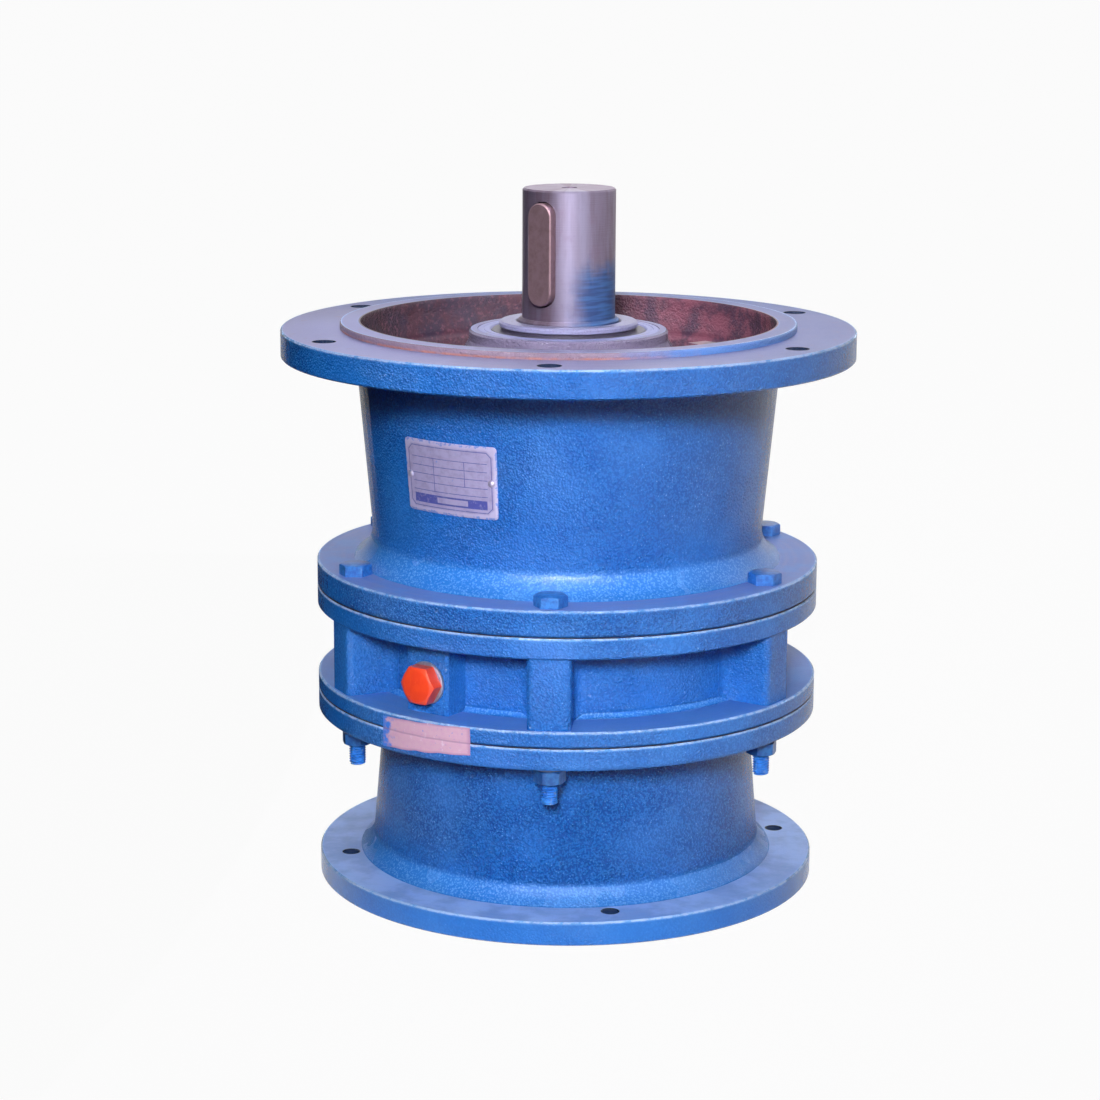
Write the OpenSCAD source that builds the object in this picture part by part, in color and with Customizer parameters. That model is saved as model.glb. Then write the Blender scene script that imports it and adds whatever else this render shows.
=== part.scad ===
// Vertical flange-mounted cycloidal reducer: keyed output shaft up, motor adapter down.
// Millimetres. The origin is the centre of the motor flange face, with +Z along the output shaft.

/* [Output casing] */
// Diameter of the output mounting flange
output_flange_d = 340; // [334:1:360]
// Thickness of the output mounting flange
output_flange_t = 16.5; // [12:0.5:22]
// Bolt circle of the output mounting flange
output_bolt_pcd = 310; // [300:1:315]
// Holes in the output mounting flange
output_bolt_count = 6; // [4, 6, 8, 12]
// Diameter of those holes
output_bolt_hole_d = 13.5; // [9:0.5:18]
// Centring spigot on the output flange
output_spigot_d = 270; // [264:1:282]
// Height of that spigot above the flange face
output_spigot_h = 4; // [2:0.5:6]
// Mouth of the bowl inside the spigot
bowl_mouth_d = 246; // [240:1:250]
// Height of the casing from its lower face to the output flange face
casing_h = 152.5; // [140:0.5:180]
// Thickness of the casing's lower flange
casing_flange_t = 15.1; // [10:0.1:20]
// Diameter of the casing's cone at its foot
casing_cone_foot_d = 230; // [224:1:236]
// Diameter of the casing's cone under the output flange
casing_cone_top_d = 252; // [248:1:260]
// Wall of the cone at its foot
casing_wall = 9; // [6:0.5:11]
// Thickness of the web that joins the hub to the cone
casing_web_t = 12; // [8:0.5:18]
// Wall of the hub's rim outside the seal carrier
hub_rim_wall = 5; // [3:0.5:8]
// Drop of the hub's rim below the output flange face
hub_drop = 1; // [0:0.5:6]
// Wall of the hub around the output bearings
hub_wall = 11; // [7:0.5:14]

/* [Pin housing] */
// Height of the pin housing
housing_h = 63; // [61:0.5:75]
// Outer diameter of the three flanges bolted together
joint_flange_d = 300; // [292:1:320]
// Thickness of the pin housing's lower flange
housing_low_flange_t = 9.3; // [7:0.1:12]
// Thickness of the pin housing's upper flange
housing_top_flange_t = 12.1; // [8:0.1:15]
// Wall of the waist outside the ring rollers' bore
waist_wall = 7; // [5:0.5:10]
// Depth of the pin-holding ledges at each end of the bore
pin_ledge_t = 9; // [6:0.5:11]
// Radial room between the ring rollers and the waist's inside
roller_room = 1; // [0.6:0.1:2]
// Width of a bolt column
column_w = 25; // [20:0.5:28]
// Distance from a clamp bolt out to its column's face
column_reach = 10.5; // [8:0.5:12]
// Radius of the column's outer upright corners
column_corner_r = 4; // [1:0.5:6]
// Radius of the fillet between a column web and the waist
column_fillet_r = 7; // [3:0.5:10]
// Width of the oil plug pad
plug_pad_w = 30; // [28:1:34]
// Rise of the pad's face above the waist
plug_pad_rise = 16; // [13:0.5:20]

/* [Motor adapter] */
// Diameter of the motor flange
motor_flange_d = 300; // [290:1:320]
// Thickness of the motor flange
motor_flange_t = 14; // [9:0.5:18]
// Bolt circle of the motor flange
motor_bolt_pcd = 265; // [258:1:272]
// Tapped holes in the motor flange
motor_bolt_count = 4; // [4, 6, 8]
// Core diameter of those tapped holes
motor_tap_d = 10.4; // [8.4:0.2:13]
// Spigot recess that centres the motor
motor_spigot_d = 230; // [220:1:236]
// Depth of the spigot recess
motor_spigot_depth = 6; // [3.5:0.5:8]
// Height of the adapter
adapter_h = 115.5; // [110:0.5:150]
// Thickness of the adapter's upper flange
adapter_flange_t = 12.5; // [9:0.5:16]
// Diameter of the adapter's cone at its foot
adapter_cone_foot_d = 236; // [230:1:240]
// Diameter of the adapter's cone under its upper flange
adapter_cone_top_d = 221; // [216:1:228]
// Wall of the adapter's cone
adapter_wall = 8; // [6:0.5:10]
// Thickness of the adapter's web
adapter_web_t = 17; // [13:0.5:20]

/* [Clamp bolts] */
// Bolt circle of the clamp bolts
clamp_pcd = 274; // [270:1:278]
// Number of clamp bolts and columns
clamp_count = 6; // [4, 6, 8]
// Diameter of the clamp bolts
clamp_bolt_d = 10; // [8:1:12]
// Length of the clamp bolts under the head
clamp_bolt_len = 114.5; // [112:0.5:125]
// Width of a bolt head across its flats
clamp_head_af = 17; // [15:0.5:19]
// Height of a bolt head
clamp_head_h = 6.6; // [5:0.1:9]
// Height of a nut
clamp_nut_h = 8; // [6:0.2:9]
// Thickness of a split washer
clamp_washer_t = 2.4; // [1.6:0.1:3]
// Thickness of the paper gaskets
gasket_t = 0.5; // [0.3:0.1:1]

/* [Output shaft] */
// Diameter of the shaft's keyed end
shaft_d = 55; // [50:1:58]
// Height of the shaft's end above the output flange face
shaft_reach = 82; // [76:1:120]
// Diameter of the shaft where the oil seal runs
seal_journal_d = 60; // [60:1:64]
// Width of the key
key_w = 16; // [12:1:18]
// Height of the key
key_h = 10; // [8:0.5:12]
// Length of the key
key_len = 60; // [50:1:64]
// Depth of the keyseat
keyseat_depth = 6; // [4.5:0.5:7]
// Distance from the key to the end of the shaft
key_inset = 7; // [6:0.5:10]
// Thickness of the disc that carries the output pins
pin_disc_t = 21; // [20:0.5:23]
// Metal outside the output pins on that disc
pin_disc_rim = 4.5; // [3:0.5:5]
// Radial thickness of the tightening ring shrunk on the disc
tight_ring_t = 6; // [4:0.5:7]

/* [Cycloid drive] */
// Number of ring pins
ring_pin_count = 12; // [12, 14, 16, 18]
// Diameter of the circle of ring pins
ring_circle_d = 206; // [204:1:208]
// Diameter of a ring pin
ring_pin_d = 12; // [9:0.5:13]
// Diameter of the roller on a ring pin
ring_roller_d = 18; // [16:0.5:19]
// Eccentricity of the cycloid discs
eccentricity = 4; // [3:0.25:4.25]
// Thickness of a cycloid disc
cycloid_disc_t = 17; // [14:0.5:17]
// Gap between the two cycloid discs
disc_gap = 7; // [5:0.5:7]
// Number of output pins
output_pin_count = 8; // [6, 8]
// Diameter of the circle of output pins
output_circle_d = 124; // [122:1:126]
// Diameter of an output pin
output_pin_d = 17; // [14:0.5:19]
// Diameter of the roller on an output pin
output_roller_d = 26; // [23:0.5:27]
// Running clearance of the cycloid profile and the pin holes
mesh_clearance = 0.15; // [0.1:0.01:0.3]

/* [Input shaft] */
// Diameter of the motor shaft that the input shaft takes
motor_shaft_d = 38; // [32:1:42]
// Length of the motor shaft
motor_shaft_len = 80; // [70:1:82]
// Width of the motor shaft's key
motor_key_w = 10; // [8:1:12]
// Rise of the motor key above the motor shaft
motor_key_rise = 3.3; // [2.5:0.1:3.5]
// Diameter of the input shaft's eccentric seat
eccentric_seat_d = 35; // [32:1:36]
// Diameter of the journals of the eccentric sleeve
eccentric_journal_d = 54; // [53:0.5:56]
// Diameter of the rollers in the eccentric bearings
eccentric_roller_d = 10.8; // [9:0.1:11]
// Number of rollers in each eccentric bearing
eccentric_roller_count = 12; // [8:1:14]

/* [Bearings and seals] */
// Width of the lower output bearing
low_bearing_w = 24; // [20:0.5:26]
// Outer diameter of the lower output bearing
low_bearing_d = 125; // [122:1:130]
// Bore of the lower output bearing
low_bearing_bore = 70; // [68:1:72]
// Width of the upper output bearing
top_bearing_w = 22; // [18:0.5:26]
// Outer diameter of the upper output bearing
top_bearing_d = 110; // [106:1:112]
// Width of the input bearing
input_bearing_w = 18; // [16:0.5:22]
// Outer diameter of the input bearing
input_bearing_d = 95; // [92:1:100]
// Bore of the input bearing
input_bearing_bore = 60; // [56:1:62]
// Width of the pilot bearing inside the output shaft
pilot_bearing_w = 17; // [14:0.5:17.5]
// Outer diameter of the pilot bearing
pilot_bearing_d = 72; // [68:1:76]
// Radial width of the ring that carries the output oil seal
seal_carrier_wall = 8; // [6:0.5:10]
// Radial step from that seal's rim in to its raised collar
seal_collar_inset = 5; // [3:0.5:7]
// Rise of that collar above the hub's rim
seal_collar_h = 5; // [3:0.5:7]
// Radial step from the upper bearing's seat in to the seal carrier's
seal_carrier_step = 1; // [0.5:0.5:3]
// Thickness of the seal carrier
seal_carrier_t = 10; // [8:0.5:12]
// Outer diameter of the input oil seal
input_seal_d = 80; // [76:1:84]
// Thickness of the input oil seal
input_seal_t = 8; // [6:0.5:10]

/* [Fittings] */
// Width of the oil plug's head across its flats
plug_af = 21; // [19:0.5:24]
// Height of the oil plug's head
plug_head_h = 8.5; // [6:0.5:11]
// Diameter of the oil plug's thread
plug_thread_d = 18; // [14:0.5:18]
// Height of the oil plug above the pin housing's lower face
plug_z = 27; // [26:0.5:34]
// Direction of the oil plug about the axis
plug_angle = -122; // [-135:1:-105]
// Direction of the key and the nameplate about the axis
front_angle = -120; // [-135:1:-105]
// Width of the nameplate along the casing
plate_w = 63; // [50:1:70]
// Height of the nameplate
plate_h = 42; // [30:1:50]
// Thickness of the nameplate
plate_t = 0.8; // [0.5:0.1:1.5]
// Height of the nameplate's middle above the casing's lower face
plate_z = 79.5; // [60:0.5:95]

/* [Hidden] */

$fn = 96;
cut = 1;                 // how far a cutting solid runs past the face it opens
sink = 1;                // how far joined solids run into each other
seat_gap = 0.05;         // radial room between parts that are pressed or slid together
ball_gap = 0.25;         // room between a ball and its races or pocket
cage_rim = 1.2;          // metal of a cage above and below its pockets
seal_gap = 0.05;         // room between a seal's lip and its shaft
roller_gap = 0.2;        // room between the eccentric rollers and the disc's bore
key_gap = 0.15;          // room on each side of a key
keyseat_end_gap = 0.8;   // room at each end of the output key
rim_bevel = 0.8;         // bevel on the rims of the castings
spigot_bevel = 0.5;      // bevel on the output spigot
edge_bevel = 1;          // bevel on the ends of turned pieces

// Angles of the bolt patterns
clamp_phase = -90;
motor_bolt_phase = -75;
output_bolt_phase = -90;

// Heights of the main faces
housing_z = adapter_h + gasket_t;
casing_z = housing_z + housing_h + gasket_t;
face_z = casing_z + casing_h;
hub_z = face_z - hub_drop;
shaft_top_z = face_z + shaft_reach;
adapter_flange_z = adapter_h - adapter_flange_t;
casing_flange_z = casing_z + casing_flange_t;
output_flange_z = face_z - output_flange_t;

// Cycloid drive
ring_r = ring_circle_d / 2;
ring_roller_r = ring_roller_d / 2;
output_r = output_circle_d / 2;
roller_cavity_r = ring_r + ring_roller_r + roller_room;
waist_r = roller_cavity_r + waist_wall;
plug_pad_reach = waist_r + plug_pad_rise;
ledge_bore_r = ring_r - ring_roller_r;
lobe_count = ring_pin_count - 1;
points_per_lobe = 24;
pin_end_gap = 0.3;       // end room of the pins and rollers
cycloid_roller_r = ring_roller_r + mesh_clearance;
pin_hole_r = output_roller_d / 2 + eccentricity + mesh_clearance;
eccentric_race_r = eccentric_journal_d / 2 + eccentric_roller_d + roller_gap;
drive_z = housing_z + housing_h / 2;
low_disc_z = drive_z - disc_gap / 2 - cycloid_disc_t;
top_disc_z = drive_z + disc_gap / 2;
disc_run_gap = 3;        // between the upper cycloid disc and the output shaft's disc

// Output shaft and its bearings
pin_disc_z = top_disc_z + cycloid_disc_t + disc_run_gap;
pin_disc_top_z = pin_disc_z + pin_disc_t;
pin_disc_r = output_r + output_pin_d / 2 + pin_disc_rim;
tight_ring_r = pin_disc_r + seat_gap + tight_ring_t;
cavity_room = 7.4;       // round the tightening ring
cavity_headroom = 2.5;   // above the pin disc
cavity_r = tight_ring_r + cavity_room;
cavity_top_z = pin_disc_top_z + cavity_headroom;

// Register rings that centre the castings in the pin housing's bore
register_h = 4.5;
register_r = ledge_bore_r - seat_gap;

// Seats along the output shaft
shaft_shoulder_t = 6;
shaft_shoulder_bevel = 3;
low_bearing_z = pin_disc_top_z + shaft_shoulder_t;
low_bearing_top_z = low_bearing_z + low_bearing_w;
seal_lip_t = 2;
top_bearing_top_z = hub_z - seal_carrier_t - seal_lip_t;
top_bearing_z = top_bearing_top_z - top_bearing_w;
top_bearing_bore = seal_journal_d;
shaft_step_gap = 2;      // from the seal's collar to the shaft's step
shaft_step_bevel = 1.5;
shaft_step_z = hub_z + seal_collar_h + shaft_step_gap;
shaft_chamfer = 1;
shaft_seam_turn = 22.5;  // keeps the seam of the shaft's surface clear of its keyway
circlip_t = 2.2;
groove_room = 0.1;       // at each side of a circlip in its groove
groove_depth = 1.5;      // of a circlip groove in a shaft
bore_groove_depth = 2;   // of a circlip groove in a bore
circlip_band = 4;        // how far a circlip stands over its bearing

// Input shaft and its bearings
input_mouth_inset = 2;
motor_bore_room = 4;
motor_key_inset = 4;
input_mouth_z = motor_spigot_depth + input_mouth_inset;
motor_bore_z = motor_shaft_len + motor_bore_room;
input_bearing_drop = 6.5;
input_bearing_top_z = adapter_h - input_bearing_drop;
input_bearing_z = input_bearing_top_z - input_bearing_w;
input_shoulder_t = 4;
input_seal_z = input_bearing_z - input_shoulder_t - input_seal_t;
sleeve_end_t = 3;
collar_rim = 0.8;        // how far the sleeve's collar stands outside both journals
sleeve_z = low_disc_z - sleeve_end_t;
pilot_inset = 2;
pilot_bearing_z = pin_disc_z + pilot_inset;
pilot_bearing_top_z = pilot_bearing_z + pilot_bearing_w;
pilot_relief = 6;
pilot_shoulder = 5;
input_end_land = 1.5;
input_shaft_top_z = pilot_bearing_top_z + circlip_t + input_end_land;
eccentric_cage_inset = 1;
eccentric_roller_inset = 2.5;
eccentric_cage_w = cycloid_disc_t - 2 * eccentric_cage_inset;
eccentric_roller_len = cycloid_disc_t - 2 * eccentric_roller_inset;
eccentric_cage_half_t = 1.6;
eccentric_window_gap = 0.3;
eccentric_pitch_r = (eccentric_journal_d / 2 + eccentric_race_r) / 2;
sleeve_key_w = 10;
sleeve_key_rise = 3;

// Fastener details
clamp_hole_room = 1;
clamp_hole_d = clamp_bolt_d + clamp_hole_room;
clamp_nut_af = clamp_head_af - 1;
clamp_washer_rim = 0.8;
clamp_washer_gap = 0.2;
washer_slit_w = 1.2;
washer_slit_angle = 40;
head_gap = 0.5;          // from a bolt head to the step of its land
thread_chamfer = 1;
plug_seal_t = 2;
plug_seal_rim = 1.5;
plug_shank_len = 16;
plug_spot_depth = 0.8;
plug_spot_rim = 1.2;
plug_chamfer = 1.4;
rivet_d = 4;
rivet_seat_gap = 0.05;
plate_lift = 0.1;

casing_blue = [0.16, 0.33, 0.72];
steel = [0.62, 0.60, 0.62];
dark_steel = [0.32, 0.30, 0.31];
bright_steel = [0.78, 0.79, 0.81];
brass = [0.72, 0.58, 0.28];
rubber = [0.12, 0.12, 0.13];
paper = [0.20, 0.18, 0.16];
plug_orange = [0.93, 0.29, 0.16];
aluminium = [0.75, 0.76, 0.80];

// ---- helpers ----

// Repeats its child round the axis
module around(count, phase = 0) {
    for (i = [0 : count - 1]) rotate(phase + i * 360 / count) children();
}

// Ring between two radii, standing on z
module ring(r_out, r_in, z, h) {
    translate([0, 0, z]) difference() {
        cylinder(r = r_out, h = h);
        translate([0, 0, -cut]) cylinder(r = r_in, h = h + 2 * cut);
    }
}

// Straight hole or pin on the axis
module bar(r, z, h) {
    translate([0, 0, z]) cylinder(r = r, h = h);
}

// Profile of a fillet of radius r where a wall through (x, z) with slope dx/dz meets a flat face.
// side is 1 where the wall rises from the face, and -1 where it hangs below it.
module wall_fillet(x, z, slope, r, side) {
    lean = slope * side;
    root = sqrt(1 + lean * lean);
    centre_x = x + lean * r + r * root;
    touch_x = centre_x - r / root;
    touch_z = r + r * lean / root;
    translate([0, z]) upright(side) difference() {
        polygon([[x - 2 * sink, -sink], [centre_x, -sink], [centre_x, 0], [touch_x, touch_z],
            [touch_x - 2 * sink, touch_z]]);
        translate([centre_x, r]) circle(r = r);
    }
}

// Profile of a fillet under a wall, cut off at land_r where the flange's face is machined
module faced_fillet(x, z, slope, r, land_r) {
    intersection() {
        wall_fillet(x, z, slope, r, 1);
        translate([0, z - sink]) square([land_r, r + 2 * sink]);
    }
    difference() {
        translate([land_r - sink, z - sink]) square([land_cove + sink, land_cove + sink]);
        translate([land_r + land_cove, z + land_cove]) circle(r = land_cove);
    }
}

// Turns a profile upside down when side is -1
module upright(side) {
    if (side > 0) children();
    else mirror([0, 1]) children();
}

// Profile of a disc from z up, solid to the axis, with both corners of its rim bevelled
module disc_outline(r, z, t, bevel) {
    polygon([[0, z], [r - bevel, z], [r, z + bevel], [r, z + t - bevel], [r - bevel, z + t],
        [0, z + t]]);
}

// Bar with a hexagonal section and turned corners on its upper end
module hex_head(af, h, chamfer) {
    corner_r = af / sqrt(3);
    turn_r = corner_r + chamfer * tan(6);
    intersection() {
        rotate(30) cylinder(r = corner_r, h = h, $fn = 6);
        rotate_extrude() polygon([[0, 0], [turn_r, 0], [turn_r, h - chamfer],
            [corner_r - chamfer / tan(30), h], [0, h]]);
    }
}

// Block with round ends, lying along X, with a chamfer round its top
module round_ended_bar(length, w, h, chamfer) {
    r = w / 2;
    half = length / 2 - r;
    for (side = [-1, 1]) translate([side * half, 0, 0]) {
        cylinder(r = r, h = h - chamfer);
        translate([0, 0, h - chamfer]) cylinder(r1 = r, r2 = r - chamfer, h = chamfer);
    }
    rotate([90, 0, 90]) translate([0, 0, -half]) linear_extrude(2 * half)
        polygon([[-r, 0], [r, 0], [r, h - chamfer], [r - chamfer, h], [chamfer - r, h],
            [-r, h - chamfer]]);
}

// Points a solid drawn along +Z outwards at an angle about the axis, dipped by tilt
module facing(angle, reach, z, tilt = 0) {
    rotate(angle) translate([reach, 0, z]) rotate([0, 90 + tilt, 0]) children();
}

// Spring ring with an open gap on its +Y side
module circlip(r_out, r_in, z) {
    translate([0, 0, z]) difference() {
        cylinder(r = r_out, h = circlip_t);
        translate([0, 0, -cut]) cylinder(r = r_in, h = circlip_t + 2 * cut);
        translate([-circlip_band / 2, 0, -cut])
            cube([circlip_band, r_out + cut, circlip_t + 2 * cut]);
    }
}

// Circlip in the groove of a bore of radius r
module bore_circlip(r, z) {
    color(dark_steel) circlip(r + bore_groove_depth - groove_room, r - circlip_band, z);
}

// Circlip in the groove of a shaft of radius r
module shaft_circlip(r, z, band) {
    color(dark_steel) circlip(r + band, r - groove_depth + seat_gap, z);
}

// Cut for a circlip in a bore of radius r, under or over the bearing that it keeps
module bore_groove(r, z) {
    ring(r + bore_groove_depth, r - cut, z - groove_room, circlip_t + 2 * groove_room);
}

// Profile of the cut for a circlip in a shaft of radius r
module shaft_groove(r, z) {
    translate([r - groove_depth, z - groove_room])
        square([groove_depth + cut, circlip_t + 2 * groove_room]);
}

// ---- deep-groove ball bearings ----

function pitch_r(bore, outer) = (bore + outer) / 4;
function ball_r(bore, outer) = 0.15 * (outer - bore);
function race_drop(bore, outer) = 0.72 * ball_r(bore, outer);
function ball_count(bore, outer) =
    floor(180 / asin(1.22 * ball_r(bore, outer) / pitch_r(bore, outer)));

// One ring of a bearing between two radii, with a groove for the balls
module race(r_in, r_out, bore, outer, z, w) {
    rotate_extrude() difference() {
        translate([r_in, z]) square([r_out - r_in, w]);
        translate([pitch_r(bore, outer), z + w / 2]) circle(r = ball_r(bore, outer) + ball_gap);
    }
}

module inner_race(bore, outer, z, w) {
    race(bore / 2 + seat_gap, pitch_r(bore, outer) - race_drop(bore, outer), bore, outer, z, w);
}

module outer_race(bore, outer, z, w) {
    race(pitch_r(bore, outer) + race_drop(bore, outer), outer / 2 - seat_gap, bore, outer, z, w);
}

module balls(bore, outer, z, w) {
    around(ball_count(bore, outer)) translate([pitch_r(bore, outer), 0, z + w / 2])
        sphere(r = ball_r(bore, outer));
}

// Ring that keeps the balls apart, with a round pocket for each
module ball_cage(bore, outer, z, w) {
    half_t = 0.3 * ball_r(bore, outer);
    half_h = ball_r(bore, outer) + ball_gap + cage_rim;
    mid = pitch_r(bore, outer);
    difference() {
        ring(mid + half_t, mid - half_t, z + w / 2 - half_h, 2 * half_h);
        around(ball_count(bore, outer)) translate([mid, 0, z + w / 2])
            sphere(r = ball_r(bore, outer) + ball_gap);
    }
}

// ---- castings ----

casing_slope = (casing_cone_top_d - casing_cone_foot_d) / 2 / (output_flange_z - casing_flange_z);
casing_foot_fillet = 18;
casing_top_fillet = 6;
land_cove = 1;           // radius that the facing tool leaves at the foot of its cut
bolt_land_r = clamp_pcd / 2 - clamp_head_af / 2 - head_gap - land_cove;
spigot_top_z = face_z + output_spigot_h;
bowl_floor_z = cavity_top_z + casing_web_t;
bowl_floor_r = casing_wall_r(bowl_floor_z) - casing_wall;
bowl_fillet = 8;
bowl_taper = 5.5;        // how far the bowl's wall draws in below the mouth
bowl_taper_drop = 36;    // where that ends, below the spigot's top
mouth_depth = 8;         // of the straight mouth
hub_low_r = low_bearing_d / 2 + hub_wall;
hub_top_r = top_bearing_d / 2 + hub_wall - 1;
hub_neck_drop = 6;       // from the lower bearing's top to the foot of the hub's taper
hub_neck_h = 12;         // height of that taper
hub_shoulder_drop = 16;  // from the rim down to the hub's shoulder
hub_collar_h = 6;        // of the rim's straight side
hub_rim_bevel = 1.2;
seal_carrier_r = top_bearing_d / 2 - seal_carrier_step;
output_seal_d = 2 * (seal_carrier_r - seal_carrier_wall);
seal_collar_d = output_seal_d - 2 * seal_collar_inset;
hub_rim_r = seal_carrier_r + hub_rim_wall;
hub_bore_room = 2;       // the hub's bore outside the upper bearing's seat
hub_lip = 5;             // of the stop over the upper bearing
lug_w = 13;
lug_reach = 9;
lug_h = 10;
lug_angle = -47;

module output_casing() {
    color(casing_blue) difference() {
        union() {
            rotate_extrude() difference() {
                casing_outline();
                bowl_outline();
            }
            rotate_extrude() hub_outline();
            bowl_lug();
        }
        bar(cavity_r, casing_z - register_h - cut, cavity_top_z - casing_z + register_h + cut);
        bar(low_bearing_d / 2, cavity_top_z - cut, low_bearing_top_z - cavity_top_z + cut);
        bar(top_bearing_d / 2 + hub_bore_room, low_bearing_top_z - cut,
            top_bearing_z - low_bearing_top_z + cut);
        bar(top_bearing_d / 2, top_bearing_z - cut, top_bearing_w + cut);
        bar(top_bearing_d / 2 - hub_lip, top_bearing_top_z - cut, seal_lip_t + 2 * cut);
        bar(seal_carrier_r, hub_z - seal_carrier_t, seal_carrier_t + cut);
        bore_groove(low_bearing_d / 2, low_bearing_z - circlip_t);
        around(output_bolt_count, output_bolt_phase) translate([output_bolt_pcd / 2, 0, 0])
            bar(output_bolt_hole_d / 2, output_flange_z - casing_top_fillet,
                output_flange_t + casing_top_fillet + cut);
        clamp_holes(casing_z, casing_flange_t);
        rivet_places() translate([0, 0, -rivet_hole_depth])
            cylinder(d = rivet_hole_d, h = rivet_hole_depth + cut);
    }
}

// Outline of the casing's flanges, cone, spigot and register, solid to the axis
module casing_outline() {
    foot_r = casing_cone_foot_d / 2;
    top_r = casing_cone_top_d / 2;
    disc_outline(joint_flange_d / 2, casing_z, casing_flange_t, rim_bevel);
    translate([0, casing_z - register_h]) square([register_r, register_h + sink]);
    polygon([[0, casing_flange_z - sink], [foot_r - casing_slope * sink, casing_flange_z - sink],
        [top_r, output_flange_z], [0, output_flange_z]]);
    disc_outline(output_flange_d / 2, output_flange_z, output_flange_t, rim_bevel);
    disc_outline(output_spigot_d / 2, face_z - sink, output_spigot_h + sink, spigot_bevel);
    faced_fillet(foot_r, casing_flange_z, casing_slope, casing_foot_fillet, bolt_land_r);
    wall_fillet(top_r, output_flange_z, casing_slope, casing_top_fillet, -1);
}

// Outline of the bowl that is open at the top of the casing
module bowl_outline() {
    mouth_r = bowl_mouth_d / 2;
    difference() {
        polygon([[0, bowl_floor_z], [bowl_floor_r, bowl_floor_z],
            [mouth_r - bowl_taper, spigot_top_z - bowl_taper_drop],
            [mouth_r, spigot_top_z - mouth_depth], [mouth_r, spigot_top_z + cut],
            [0, spigot_top_z + cut]]);
        difference() {
            translate([bowl_floor_r - bowl_fillet, bowl_floor_z - cut])
                square([bowl_fillet + 2 * cut, bowl_fillet + cut]);
            translate([bowl_floor_r - bowl_fillet, bowl_floor_z + bowl_fillet])
                circle(r = bowl_fillet);
        }
    }
}

// Outline of the hub that holds the output bearings, solid to the axis
module hub_outline() {
    neck_z = low_bearing_top_z + hub_neck_drop;
    polygon([[0, bowl_floor_z - sink], [hub_low_r, bowl_floor_z - sink], [hub_low_r, neck_z],
        [hub_top_r, neck_z + hub_neck_h], [hub_top_r, hub_z - hub_shoulder_drop],
        [hub_rim_r, hub_z - hub_collar_h], [hub_rim_r, hub_z - hub_rim_bevel],
        [hub_rim_r - hub_rim_bevel, hub_z], [0, hub_z]]);
    wall_fillet(hub_low_r, bowl_floor_z, 0, bowl_fillet, 1);
}

// Small flat lug inside the bowl's mouth
module bowl_lug() {
    rotate(lug_angle)
        translate([bowl_mouth_d / 2 - lug_reach, -lug_w / 2, spigot_top_z - lug_h])
            cube([lug_reach + sink, lug_w, lug_h]);
}

// Clearance holes for the clamp bolts through a flange
module clamp_holes(z, h) {
    around(clamp_count, clamp_phase) translate([clamp_pcd / 2, 0, 0])
        bar(clamp_hole_d / 2, z - cut, h + 2 * cut);
}

waist_z = housing_z + housing_low_flange_t;
waist_top_z = housing_z + housing_h - housing_top_flange_t;
waist_fillet = 4;
pad_bevel = 1.5;         // on the upright edges of the oil plug's pad

module pin_housing() {
    color(casing_blue) difference() {
        union() {
            rotate_extrude() housing_outline();
            translate([0, 0, waist_z - sink]) linear_extrude(waist_top_z - waist_z + 2 * sink) {
                around(clamp_count, clamp_phase) column_section();
                rotate(plug_angle) pad_section();
            }
        }
        bar(ledge_bore_r, housing_z - cut, housing_h + 2 * cut);
        bar(roller_cavity_r, housing_z + pin_ledge_t, housing_h - 2 * pin_ledge_t);
        around(ring_pin_count) translate([ring_r, 0, 0])
            bar(ring_pin_d / 2 + seat_gap, housing_z - cut, housing_h + 2 * cut);
        clamp_holes(housing_z, housing_h);
        facing(plug_angle, roller_cavity_r - cut, housing_z + plug_z)
            cylinder(d = plug_thread_d + 2 * seat_gap, h = plug_pad_reach - roller_cavity_r + 2 * cut);
        facing(plug_angle, plug_pad_reach - plug_spot_depth, housing_z + plug_z)
            cylinder(r = plug_pad_w / 2 - plug_spot_rim, h = plug_spot_depth + cut);
    }
}

// Outline of the pin housing, solid to the axis
module housing_outline() {
    disc_outline(joint_flange_d / 2, housing_z, housing_low_flange_t, rim_bevel);
    disc_outline(joint_flange_d / 2, waist_top_z, housing_top_flange_t, rim_bevel);
    translate([0, waist_z - sink]) square([waist_r, waist_top_z - waist_z + 2 * sink]);
    wall_fillet(waist_r, waist_z, 0, waist_fillet, 1);
    wall_fillet(waist_r, waist_top_z, 0, waist_fillet, -1);
}

// Section of the pad that takes the oil plug, on the +X side, with rounded corners
module pad_section() {
    root_x = waist_r - 4 * sink;
    translate([root_x, 0]) difference() {
        translate([0, -plug_pad_w / 2]) square([plug_pad_reach - root_x, plug_pad_w]);
        for (side = [-1, 1]) translate([plug_pad_reach - root_x, side * plug_pad_w / 2])
            rotate(45) square(sqrt(2) * pad_bevel, center = true);
    }
}

// Section of one bolt column, on the +X side: rounded outside, and flared where it meets the waist
module column_section() {
    root_x = waist_r - 3 * sink;
    face_x = clamp_pcd / 2 + column_reach;
    corner_y = column_w / 2 - column_corner_r;
    flare_w = column_w / 2 + column_fillet_r;
    translate([root_x, -column_w / 2]) square([face_x - column_corner_r - root_x, column_w]);
    translate([root_x, -corner_y]) square([face_x - root_x, 2 * corner_y]);
    for (side = [-1, 1]) translate([face_x - column_corner_r, side * corner_y])
        circle(r = column_corner_r);
    for (side = [0, 1]) mirror([0, side]) difference() {
        translate([root_x, 0]) square([2 * sink + column_fillet_r, flare_w]);
        translate([waist_r - sink + column_fillet_r, flare_w]) circle(r = column_fillet_r);
    }
}

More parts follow.
